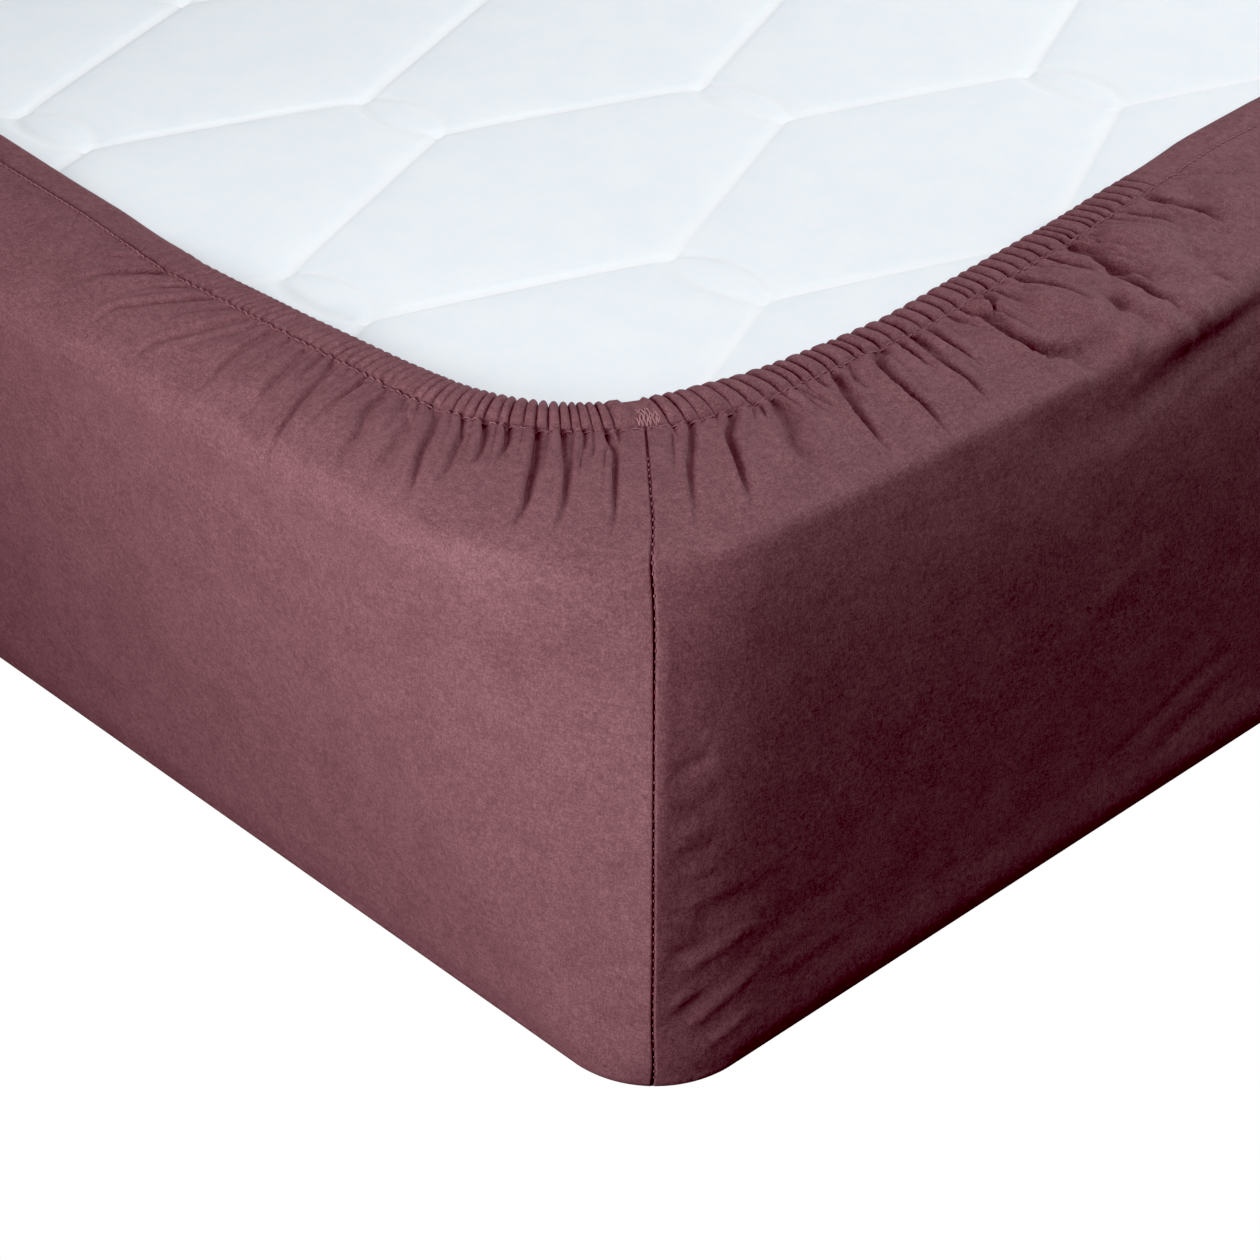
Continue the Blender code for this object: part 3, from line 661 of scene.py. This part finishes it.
class Shell:
    """A mesh made of closed rings."""

    def __init__(self):
        self.points = []
        self.faces = []
        self.count = 0

    def ring(self, marks, points):
        self.points.append(points)
        start = self.count
        self.count += len(points)
        return marks, start

    def join(self, upper, lower):
        """Faces between two rings. Their columns may differ."""
        (marks_a, start_a), (marks_b, start_b) = upper, lower
        count_a, count_b = len(marks_a), len(marks_b)
        if count_a == count_b and np.allclose(marks_a, marks_b):
            here = np.arange(count_a)
            there = (here + 1) % count_a
            quads = np.stack((start_a + here, start_b + here, start_b + there, start_a + there), 1)
            self.faces += quads.tolist()
            return
        perimeter = 2 * (WIDTH + LENGTH)
        a = b = 0
        while a < count_a or b < count_b:
            next_a = marks_a[(a + 1) % count_a] + perimeter * ((a + 1) // count_a)
            next_b = marks_b[(b + 1) % count_b] + perimeter * ((b + 1) // count_b)
            edge = (start_a + a % count_a, start_b + b % count_b)
            if b >= count_b or (a < count_a and next_a <= next_b):
                a += 1
                self.faces.append(edge + (start_a + a % count_a,))
            else:
                b += 1
                self.faces.append(edge + (start_b + b % count_b,))

    def join_all(self, rings):
        for upper, lower in zip(rings, rings[1:]):
            self.join(upper, lower)

    def cap_below(self, ring):
        marks, start = ring
        self.faces.append(list(range(start, start + len(marks)))[::-1])

    def object(self, name, finish):
        return mesh_object(name, np.concatenate(self.points), self.faces, finish)


def mesh_object(name, points, faces, finish):
    mesh = bpy.data.meshes.new(name)
    mesh.from_pydata([tuple(point) for point in points], [], faces)
    mesh.update()
    mesh.shade_smooth()
    mesh.materials.append(finish)
    made = bpy.data.objects.new(name, mesh)
    bpy.context.scene.collection.objects.link(made)
    return made


def even_steps(side, start, step):
    """Even steps of about so many mm from a distance on one arm to its end."""
    left = arm_end(side) - start
    count = max(2, round(left / step))
    return [start + left * i / count for i in range(1, count)]


def arm_steps(side, spans, coarse):
    """Distances in mm along one arm: fine steps over spans (step, end), then coarse ones."""
    marks = []
    for step, end in spans:
        start = marks[-1] if marks else 0.0
        marks += list(np.arange(start + step, end, step))
    return marks + even_steps(side, marks[-1], coarse)


SEAM_COLUMNS = (0.3, 0.6, 0.9, 1.3, 1.8, 2.4)  # columns beside each seam, in mm from it
STITCH_COLUMN = 0.6  # the seam's stitches lie midway between the two at this distance

# Steps of the columns along an arm: spans (step, end), and the coarse step past them, in mm
SEEN_STEPS = {"short": (((0.5, 60), (0.72, 160), (1.0, 260)), 12),
              "long": (((0.5, 60), (0.72, 160), (1.0, 320)), 12)}
UNSEEN_STEPS = (((3.0, 60), (4.0, 290)), 20)
MATTRESS_STEPS = (((8, 130),), 20)

# Spans of row numbers, as first, last and how many rows, from the stitch line to the underside
ROW_SPANS = ((0, 0.75, 12), (0.75, 3, 16), (3, 7, 24), (7, 11, 60), (11, 13, 16))


def cloth_columns(corner, side):
    steps = arm_steps(side, *(UNSEEN_STEPS if corner else SEEN_STEPS[side]))
    return list(SEAM_COLUMNS) + [step for step in steps if step > SEAM_COLUMNS[-1] + 0.4]


def cloth_row_numbers():
    """Fine row numbers: the wrap-over is 0 to 3, the shoulder 3 to 7, the wall 7 to 13."""
    hem, wrap, shoulder, wall, foot = (np.linspace(*span) for span in ROW_SPANS)
    return np.concatenate((hem[:-1], wrap[:-1], shoulder)), np.concatenate((wall[1:], foot[1:]))


def seam_of(columns):
    """Number of the seam's column, for each column."""
    seams = np.flatnonzero(columns.q == 0.0)
    return seams[columns.corner]


ROOM = 3.9  # mm between the plain cloth and the mattress at the wrap-over
WALL_ROOM = 2.9  # the same at the wall


def shaped_cloth(columns, at):
    """The cloth with its folds: points and outward directions."""
    plain = plain_cloth(columns, at)
    out = outward(plain)
    t = down_the_cloth(plain)
    flat = eased((FOOT_ROW - at) / 0.8)[:, None]
    away = np.linalg.norm(plain - plain[:, seam_of(columns)], axis=-1) / MM * np.sign(columns.q)
    lift, lean = relief(columns, t)
    lift += puckers(columns, t)
    room = ROOM - (ROOM - WALL_ROOM) * eased((t - 40) / 20)
    lift = np.where(lift < 0, -room * np.tanh(-lift / room), lift)
    lift += seam_relief(away, t, plain[..., 2])
    sideways = unit(np.roll(plain, -1, axis=1) - np.roll(plain, 1, axis=1)) * columns.way[:, None]
    return plain + (out * (lift * flat)[..., None] + sideways * lean[..., None]) * MM, out


# Columns that the wall keeps: all this near to a seam, one in two this near to the seen corner's
# seam, both in mm, and elsewhere one in seven
NEAR_SEAM = 3
NEAR_SEEN_SEAM = 45


def build_cloth(finish):
    fine, wall = cloth_row_numbers()
    columns = Columns(cloth_columns)
    points, out = shaped_cloth(columns, np.concatenate((fine, wall)))
    shell = Shell()
    rings = [shell.ring(columns.marks, row) for row in points[:len(fine)]]
    number = np.arange(len(columns.q))
    away = np.abs(columns.s)
    seen = (away < NEAR_SEEN_SEAM) & (columns.corner == 0) & (number % 2 == 0)
    keep = (away < NEAR_SEAM) | seen | (number % 7 == 0)
    slim = columns.marks[keep]
    rings += [shell.ring(slim, row[keep]) for row in points[len(fine):]]
    shell.join_all(rings)
    shell.cap_below(rings[-1])
    return shell.object("sheet_body", finish), columns, points, out


RIB_COLUMNS = (0.0, 0.05, 0.14, 0.28, 0.5, 0.72, 0.86, 0.95)  # places across one rib
PLAIN_CASING_STEP = 8  # mm from column to column where there are no ribs


def casing_columns(corner, side):
    """Distances in mm of the casing's columns, gathered at its grooves."""
    sign = -1 if side == "short" else 1
    grooves = sorted(sign * place for place in GROOVES[corner] if place * sign > 0)
    marks = list(np.linspace(0, grooves[0], 14)[1:-1])
    for low, high in zip(grooves, grooves[1:]):
        marks += [low + (high - low) * share for share in RIB_COLUMNS]
    marks += [grooves[-1], grooves[-1] + 2, grooves[-1] + 5]
    return marks + even_steps(side, marks[-1], PLAIN_CASING_STEP)


RIB_CREST = 0.35  # share of a rib's height that its crest stands above the section
UNEVEN_RIBS = (0.6, 1.15)
RIM = 0.0130  # distance past the stitch line from which ribs also bulge inward
RIM_BULGE = 0.6  # share of their height by which they do


def build_casing(finish):
    """The gathered hem, whose columns lean with its ribs."""
    columns = Columns(casing_columns)
    lean = read_table(RIB_LEAN, columns.s)
    first, last, depth = PATCH
    patch = eased((columns.s - first) / 0.8) * eased((last - columns.s) / 1.2) * (columns.corner == 0)
    rib = np.zeros(len(columns.q))
    for corner in range(4):
        mine = columns.corner == corner
        groove, number = rib_profile(corner, columns.s[mine])
        uneven = np.random.default_rng(60 + corner).uniform(*UNEVEN_RIBS, len(GROOVES[corner]))
        rib[mine] = (RIB_CREST - groove * uneven[number]) * read_table(RIB_HEIGHT, columns.s[mine])
    shell = Shell()
    rings = []
    for beyond, height, rib_share, rise_share in CASING_SECTION:
        s = columns.s - lean * np.clip(beyond / CASING, 0, 1)
        q = s_to_q(s * MM)
        rise = rise_share * (read_table(CREST, s) - PLAIN_CREST) * MM
        bulge = rib_share * (rib - depth * patch) * MM
        plan = hem_plan(q, beyond + RIM_BULGE * bulge * (beyond > RIM))
        rings.append(shell.ring(columns.marks, columns.place(*plan, height + rise + bulge)))
    for upper, lower in zip(rings, rings[1:] + rings[:1]):
        shell.join(lower, upper)
    return shell.object("hem_casing", finish)


UP = np.array((0.0, 0.0, 1.0))
THREAD_RADIUS = 0.00022
TACK_RADIUS = 0.00018
THREAD_SIDES = 5
THREAD_TIP = 0.55  # share of its radius that a thread has at its two ends

# Stitches in metres: length, distance from one to the next, and rise along the length
HEM_STITCH = (0.0029, 0.0038, (-0.0002, 0.00028, 0.0004, 0.00028, -0.0002))
SEAM_STITCH = (0.0010, 0.0033, (-0.0003, 0.00005, 0.00005, -0.0003))
TACK_ARCH = (-0.0001, 0.0002, 0.0003, 0.0002, -0.0001)
SEAM_STITCH_SPAN = (0.020, 0.010)  # where they begin and end, from the two ends of the seam
STITCH_GAP = 0.0001  # least gap between two of them


def along_line(line, run, places):
    """Points at some distances along a line, from its running length."""
    return np.stack([np.interp(places, run, values) for values in line.T], -1)


def stitches_along(line, ups, start, end, stitch):
    """Short threads along a line, each with the direction in which it arches."""
    length, step, arch = stitch
    run = np.concatenate(((0.0,), np.cumsum(np.linalg.norm(np.diff(line, axis=0), axis=1))))
    threads = []
    place = start
    while place + length + STITCH_GAP < run[-1] - end:
        piece = along_line(line, run, np.linspace(place, place + length, len(arch)))
        up = along_line(ups, run, place)
        threads.append((piece + up * np.array(arch)[:, None], up))
        place += step
    return threads


def build_threads(name, threads, radius, finish):
    """One mesh of many short round threads, each along its own short line."""
    points, faces = [], []
    turns = np.arange(THREAD_SIDES)
    angles = 2 * math.pi * turns[:, None] / THREAD_SIDES
    for line, up in threads:
        start = len(points)
        last = len(line) - 1
        for index, centre in enumerate(line):
            ahead = unit(line[min(last, index + 1)] - line[max(0, index - 1)])
            side = unit(np.cross(ahead, up))
            size = radius * (THREAD_TIP if index in (0, last) else 1.0)
            top = np.cross(side, ahead)
            points += list(centre + size * (np.cos(angles) * side + np.sin(angles) * top))
        for index in range(last):
            for a, b in zip(turns, np.roll(turns, -1)):
                ring = start + index * THREAD_SIDES
                faces.append((ring + a, ring + b, ring + b + THREAD_SIDES, ring + a + THREAD_SIDES))
        faces.append((start + turns[::-1]).tolist())
        faces.append((start + last * THREAD_SIDES + turns).tolist())
    return mesh_object(name, np.array(points), faces, finish)


def build_hem_stitches(points, finish):
    """Lockstitches along the hem, following the gathers."""
    line = np.vstack((points[1], points[1][:1]))
    threads = stitches_along(line, 0 * line + UP, 0.0, 0.0, HEM_STITCH)
    return build_threads("hem_stitches", threads, THREAD_RADIUS, finish)


def build_seam_stitches(columns, points, out, finish):
    """Short stitches in the groove of each corner's seam, from the wrap-over down to the foot."""
    threads = []
    for corner in range(4):
        beside = (columns.corner == corner) & (np.abs(np.abs(columns.s) - STITCH_COLUMN) < 0.01)
        line, ways = points[:, beside].mean(1), out[:, beside].mean(1)
        threads += stitches_along(line, ways, *SEAM_STITCH_SPAN, SEAM_STITCH)
    return build_threads("seam_stitches", threads, THREAD_RADIUS, finish)


def casing_point(s, beyond):
    """A place on the near corner's sunken patch, from s and the distance past the stitch line."""
    upper = CASING_SECTION[:12]
    across, height, rise_share = ([row[column] for row in upper] for column in (0, 1, 3))
    rise = np.interp(beyond, across, rise_share) * (read_table(CREST, s) - PLAIN_CREST)
    plan = hem_plan(s_to_q(s * MM), beyond)
    rise += RIB_CREST * read_table(RIB_HEIGHT, s) - PATCH[2]
    z = np.interp(beyond, across, height) + rise * MM
    return np.array((WIDTH / 2 - float(plan[0]), -LENGTH / 2 + float(plan[1]), float(z)))


def build_tack(finish):
    """Uneven zigzag stitches, sewn over twice, where the corner's seam meets the casing."""
    rng = np.random.default_rng(5)
    threads = []
    for first, last, low, high, strokes in TACK_ROWS:
        places = np.linspace(first, last, strokes + 1) + rng.uniform(-0.25, 0.25, strokes + 1)
        sides = [low if number % 2 else high for number in range(strokes + 1)]
        ends = [(s, side + rng.uniform(-0.4, 0.4)) for s, side in zip(places, sides)]
        for (s0, b0), (s1, b1) in zip(ends, ends[1:]):
            steps = np.linspace(0, 1, len(TACK_ARCH))
            line = np.array([casing_point(s0 + (s1 - s0) * step, (b0 + (b1 - b0) * step) * MM)
                             for step in steps])
            line[:, 2] += TACK_ARCH
            threads.append((line, UP))
    return build_threads("tack_stitches", threads, TACK_RADIUS, finish)


def quilt_segments():
    """Straight lines of the quilting and the arcs of one eye, as pairs of plan points."""
    first = np.array(EYE[0])
    second = first + EYE[1]
    lines = [(second, first + QUILT_A), (second, first + QUILT_B)]
    middle, half = (first + second) / 2, (second - first) / 2
    side = np.array((-half[1], half[0])) * EYE_WIDTH
    turns = np.linspace(0, math.pi, 11)
    arcs = []
    for way in (1, -1):
        arc = [middle - half * math.cos(angle) + way * side * math.sin(angle) for angle in turns]
        arcs += list(zip(arc, arc[1:]))
    return lines, arcs


def distance_to_quilting(points, segments):
    """Distance of plan points from the nearest of the segments or their repeats."""
    origin = np.array(EYE[0])
    share = np.linalg.solve(LATTICE, (points - origin).T).T
    folded = origin + (share - np.floor(share)) @ LATTICE.T
    best = np.full(len(points), 1.0)
    for i in (-1, 0, 1, 2):
        for j in (-1, 0, 1, 2):
            move = LATTICE @ np.array((i, j))
            for start, end in segments:
                begin = start + move
                run = end - start
                along = np.clip((folded - begin) @ run / (run @ run), 0, 1)
                best = np.minimum(best, np.linalg.norm(folded - begin - along[:, None] * run, axis=1))
    return best


def quilt_relief(points):
    """Height of the quilted upper side in metres, and how whitened it is along its stitching, 0 to 1: white
    thread and a painted highlight.
    """
    height = thread_and_highlight = 0.0
    for segments, dips in zip(quilt_segments(), QUILT_DIPS):
        groove, groove_width, hollow, reach, white, white_width = dips
        away = distance_to_quilting(points, segments) / MM
        dip = -groove * np.exp(-(away / groove_width) ** 2) - hollow * np.exp(-away / reach)
        height = height + dip
        # painted highlight: a whitened band, wider than the thread, along each stitched line
        thread_and_highlight = np.maximum(thread_and_highlight, white * np.exp(-(away / white_width) ** 2))
    return height * MM, thread_and_highlight


def border_distance(points):
    """Distance of plan points inward from the border of the mattress's flat upper side."""
    row = MATTRESS_ROWS[0]
    x = WIDTH / 2 - row[1] - np.abs(points[:, 0])
    y = LENGTH / 2 - row[0] - np.abs(points[:, 1])
    radius = MATTRESS_RADIUS
    in_corner = (x < radius) & (y < radius)
    return np.where(in_corner, radius - np.hypot(radius - x, radius - y), np.minimum(x, y))


def quilt_points():
    """Plan points for the upper side: close along the quilting, wide between."""
    straight, arcs = quilt_segments()
    lines = []
    for start, end in straight + arcs:
        run = end - start
        length = np.linalg.norm(run)
        side = np.array((-run[1], run[0])) / length
        shares = np.arange(0.5, length / QUILT_STEP) / (length / QUILT_STEP)
        lines += [start + run * share + side * off for share in shares for off in QUILT_OFFSETS]
    cells = [LATTICE @ np.array((i, j)) for i in range(-24, 25) for j in range(-24, 25)]
    close = np.concatenate([np.array(lines) + cell for cell in cells])
    grid_x, grid_y = np.meshgrid(np.arange(-0.44, 0.44, WIDE_STEP), np.arange(-0.99, 0.99, WIDE_STEP))
    wide = np.stack((grid_x.ravel(), grid_y.ravel()), 1)
    wide = wide[distance_to_quilting(wide, straight + arcs) > WIDE_CLEAR]
    both = np.concatenate((close, wide))
    both = both[border_distance(both) > QUILT_BORDER]
    _, first = np.unique(np.round(both / QUILT_MERGE).astype(int), axis=0, return_index=True)
    return both[np.sort(first)]


def build_mattress(finish):
    columns = Columns(lambda corner, side: arm_steps(side, *MATTRESS_STEPS))
    shell = Shell()
    rings = []
    for short_inset, long_inset, short_height, long_height, inward in MATTRESS_ROWS:
        corner_round = corner_round_at((short_height + long_height) / 2, inward)
        plan = corner_plan(columns.q, short_inset, long_inset, corner_round)
        height = blended_height(columns.q, short_height, long_height)
        rings.append(shell.ring(columns.marks, columns.place(*plan, height)))
    shell.join_all(rings)
    shell.cap_below(rings[-1])
    # the upper side is filled from its edge ring, with the quilting's points inside it
    edge = shell.points[0][:, :2]
    every = [Vector(point) for point in np.concatenate((edge, quilt_points()))]
    edges = [(index, (index + 1) % len(edge)) for index in range(len(edge))]
    split = geometry.delaunay_2d_cdt(every, edges, [], 1, 1e-6)
    top_points, top_faces, origins = split[0], split[2], split[3]
    flat = np.array(top_points)
    quilted, thread_and_highlight = quilt_relief(flat)
    height = MATTRESS_TOP + quilted * eased(border_distance(flat) / QUILT_FADE)
    start = shell.count
    number = []
    for index, sources in enumerate(origins):
        on_edge = [source for source in sources if source < len(edge)]
        number.append(on_edge[0] if on_edge else start + index)
    shell.points.append(np.column_stack((flat, height)))
    for face in top_faces:
        shell.faces.append([number[index] for index in face])
    made = shell.object("mattress_quilted", finish)
    # the thread's white and the painted highlight along the quilting go to the cover's colour
    values = np.concatenate((np.zeros(start), thread_and_highlight)).astype(np.float32)
    made.data.attributes.new("quilting", "FLOAT", "POINT").data.foreach_set("value", values)
    return made


class Tree:
    """The nodes of a material or of the sky."""

    def __init__(self, owner):
        owner.use_nodes = True
        self.nodes = owner.node_tree.nodes
        self.links = owner.node_tree.links

    def fill(self, node, sockets):
        """Give each named socket its number or colour, or link another node's output to it."""
        for name, value in sockets.items():
            if isinstance(value, bpy.types.NodeSocket):
                self.links.new(value, node.inputs[name])
            else:
                node.inputs[name].default_value = value

    def add(self, kind, sockets):
        node = self.nodes.new(kind)
        self.fill(node, sockets)
        return node

    def place(self):
        return self.nodes.new("ShaderNodeTexCoord").outputs["Object"]

    def noise(self, place, scale, detail, stretch=(1, 1, 1)):
        """Noise with features of about 1 / scale metres, longer along an axis if stretched."""
        scales = [scale / factor for factor in stretch]
        mapping = self.add("ShaderNodeMapping", {"Vector": place, "Scale": scales})
        sockets = {"Vector": mapping.outputs[0], "Scale": 1.0, "Detail": detail}
        return self.add("ShaderNodeTexNoise", sockets).outputs["Fac"]

    def weighted(self, *parts):
        """Sum of values, each with its weight."""
        total = 0.0
        for value, weight in parts:
            node = self.nodes.new("ShaderNodeMath")
            node.operation = "MULTIPLY_ADD"
            self.fill(node, {0: value, 1: weight, 2: total})
            total = node.outputs[0]
        return total

    def ramp(self, value, *stops):
        """Colours against a value, from stops of a position and a colour."""
        node = self.add("ShaderNodeValToRGB", {"Fac": value})
        elements = node.color_ramp.elements
        elements[0].position, elements[0].color = stops[0]
        elements[1].position, elements[1].color = stops[-1]
        for position, colour in stops[1:-1]:
            elements.new(position).color = colour
        return node.outputs["Color"]

    def bump(self, height, strength, distance, **below):
        sockets = {"Height": height, "Strength": strength, "Distance": distance, **below}
        return self.add("ShaderNodeBump", sockets).outputs["Normal"]


def new_material(name):
    made = bpy.data.materials.new(name)
    tree = Tree(made)
    return made, tree, tree.nodes["Principled BSDF"]


def cotton():
    """Plum plain-weave cotton: heathered yarns up and across, slubs and soft blotches."""
    made, tree, shader = new_material("sheet_cotton")
    place = tree.place()
    fleck = tree.noise(place, 1500, 1)
    upright = tree.noise(place, 1900, 1, stretch=(1, 1, 6))
    level = tree.noise(place, 1900, 1, stretch=(6, 6, 1))
    slub = tree.noise(place, 420, 2)
    blotch = tree.noise(place, 70, 2)
    yarn = tree.weighted((fleck, 0.40), (upright, 0.15), (level, 0.15), (slub, 0.18), (blotch, 0.12))
    colour = tree.ramp(yarn, (0.38, (0.148, 0.062, 0.073, 1)), (0.50, (0.207, 0.091, 0.106, 1)),
                       (0.62, (0.275, 0.129, 0.148, 1)))
    crumple = tree.weighted((tree.noise(place, 90, 2), 1.0), (slub, 0.25))
    soft = tree.bump(crumple, 0.40, 0.0012)
    tree.fill(shader, {"Base Color": colour, "Roughness": 0.8, "Specular IOR Level": 0.5,
                       "Normal": tree.bump(yarn, 0.35, 0.0005, Normal=soft)})
    return made


def knit():
    """White knitted cover of the mattress, with a painted highlight along its white-stitched quilting and a
    painted glow.
    """
    made, tree, shader = new_material("mattress_cover")
    place = tree.place()
    fine = tree.noise(place, 800, 2, stretch=(1, 2.5, 1))
    wide = tree.noise(place, 60, 2)
    both = tree.weighted((fine, 0.5), (wide, 0.5))
    colour = tree.ramp(both, (0.38, (0.90, 0.935, 0.965, 1)), (0.62, (0.95, 0.975, 0.99, 1)))
    # painted highlight: the colour turns whiter along the quilting, over a band wider than its white thread
    quilting = tree.nodes.new("ShaderNodeAttribute")
    quilting.attribute_name = "quilting"
    mix = tree.nodes.new("ShaderNodeMix")
    mix.data_type = "RGBA"
    tree.fill(mix, {"Factor": quilting.outputs["Fac"], "A": colour, "B": (1, 1, 1, 1)})
    # painted glow: the cover gives off a faint bluish light of its own, so it looks brighter and whiter
    tree.fill(shader, {"Base Color": mix.outputs["Result"], "Roughness": 0.85, "Specular IOR Level": 0.2,
                       "Emission Color": (0.5, 0.75, 1.0, 1), "Emission Strength": 0.09,
                       "Normal": tree.bump(both, 0.5, 0.0004)})
    return made


def thread(name, colour):
    """Sewing thread, with painted shade in small random specks standing for where its twist turns away."""
    made, tree, shader = new_material(name)
    # painted shade: random specks of the thread are darkened to 0.88 of its colour
    twist = tree.noise(tree.place(), 2200, 1)
    low = tuple(0.88 * part for part in colour) + (1,)
    twist_shaded = tree.ramp(twist, (0.35, low), (0.65, colour + (1,)))
    tree.fill(shader, {"Base Color": twist_shaded, "Roughness": 0.6})
    return made


def white_floor():
    made, tree, _ = new_material("floor_white")
    glow = tree.add("ShaderNodeEmission", {"Color": (1, 1, 1, 1), "Strength": 1.0})
    tree.fill(tree.nodes["Material Output"], {"Surface": glow.outputs[0]})
    return made


FLOOR_HALF = 12.0  # half the floor's side
FLOOR_TOP = -0.0004  # its height, just under the cloth


def build_floor():
    signs = (-1, -1), (1, -1), (1, 1), (-1, 1)
    corners = [(x * FLOOR_HALF, y * FLOOR_HALF, FLOOR_TOP) for x, y in signs]
    floor = mesh_object("floor", corners, [(0, 1, 2, 3)], white_floor())
    floor.visible_diffuse = False
    floor.visible_glossy = False


def build_camera():
    azimuth, elevation = math.radians(CAMERA_AZIMUTH), math.radians(CAMERA_ELEVATION)
    back = Vector((math.sin(azimuth) * math.cos(elevation), -math.cos(azimuth) * math.cos(elevation),
                   math.sin(elevation)))
    right = Vector((math.cos(azimuth), math.sin(azimuth), 0))
    up = back.cross(right)
    camera = bpy.data.cameras.new("camera")
    camera.lens = CAMERA_LENS
    camera.sensor_width = CAMERA_SENSOR
    camera.clip_start = 0.01
    holder = bpy.data.objects.new("camera", camera)
    place = Matrix((right, up, back)).transposed().to_4x4()
    place.translation = CAMERA_PLACE
    holder.matrix_world = place
    bpy.context.scene.collection.objects.link(holder)
    bpy.context.scene.camera = holder


# Lamps: place, width, brightness. Two key lights on the camera's left, two overhead, one high
# behind on the right, one low on the right and two low ones for the far sides.
LAMPS = (
    ((0.445, -1.600, 0.250), 0.4, 0.850),
    ((0.430, -1.560, 0.420), 0.4, 0.590),
    ((0.100, -0.700, 1.300), 1.0, 0.250),
    ((0.200, 0.200, 1.300), 1.0, 0.165),
    ((1.147, 1.027, 1.130), 1.0, 0.320),
    ((1.700, -1.200, 0.100), 0.6, 0.110),
    ((-2.600, 0.300, 0.100), 0.18, 0.220),
    ((0.000, 3.200, 0.100), 0.18, 0.150),
)
LAMP_AIM = Vector((0.44, -1.0, 0.15))
SKY_LIGHT = 0.20
BLACK_LEVEL = 0.029  # the photograph's blacks are drawn down, so shaded cloth looks deep


def add_lamp(name, place, size, brightness):
    """A round lamp. Brightness 1 lights a white surface at the aim to full white."""
    lamp = bpy.data.lights.new(name, "AREA")
    lamp.shape = "DISK"
    lamp.size = size
    lamp.energy = brightness * (math.pi * (place - LAMP_AIM).length) ** 2
    holder = bpy.data.objects.new(name, lamp)
    holder.location = place
    holder.rotation_euler = (place - LAMP_AIM).to_track_quat("Z", "Y").to_euler()
    holder.visible_camera = False
    bpy.context.scene.collection.objects.link(holder)


def build_sky():
    """Even soft light from above. The camera sees plain white."""
    world = bpy.data.worlds.new("studio")
    tree = Tree(world)
    direction = tree.nodes.new("ShaderNodeTexCoord").outputs["Generated"]
    parts = tree.add("ShaderNodeSeparateXYZ", {0: direction})
    sky = tree.nodes["Background"]
    above = tree.ramp(parts.outputs["Z"], (0.0, (0, 0, 0, 1)), (0.02, (1, 1, 1, 1)))
    tree.fill(sky, {"Color": above, "Strength": SKY_LIGHT})
    seen = tree.add("ShaderNodeBackground", {"Color": (1, 1, 1, 1)})
    by_camera = tree.nodes.new("ShaderNodeLightPath").outputs["Is Camera Ray"]
    mix = tree.add("ShaderNodeMixShader", {0: by_camera, 1: sky.outputs[0], 2: seen.outputs[0]})
    tree.fill(tree.nodes["World Output"], {"Surface": mix.outputs[0]})
    bpy.context.scene.world = world


def build_lights():
    for index, (place, size, brightness) in enumerate(LAMPS):
        add_lamp(f"lamp_{index}", Vector(place), size, brightness)
    build_sky()
    settings = bpy.context.scene.view_settings
    settings.view_transform = "Standard"
    settings.use_curve_mapping = True
    settings.curve_mapping.black_level = (BLACK_LEVEL, BLACK_LEVEL, BLACK_LEVEL)
    settings.curve_mapping.update()


def main():
    build_camera()
    build_lights()
    build_floor()
    cloth_finish = cotton()
    body, columns, points, out = build_cloth(cloth_finish)
    casing = build_casing(cloth_finish)
    hem_stitches = build_hem_stitches(points, thread("hem_thread", (0.36, 0.165, 0.19)))
    seam_stitches = build_seam_stitches(columns, points, out, thread("seam_thread", (0.30, 0.14, 0.17)))
    tack_stitches = build_tack(thread("tack_thread", (0.50, 0.27, 0.29)))
    mattress = build_mattress(knit())
    for piece in (body, casing, hem_stitches, seam_stitches, tack_stitches):
        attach(piece, "root")
    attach(mattress, "root")
    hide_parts("fitted_sheet")
    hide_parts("mattress")


main()
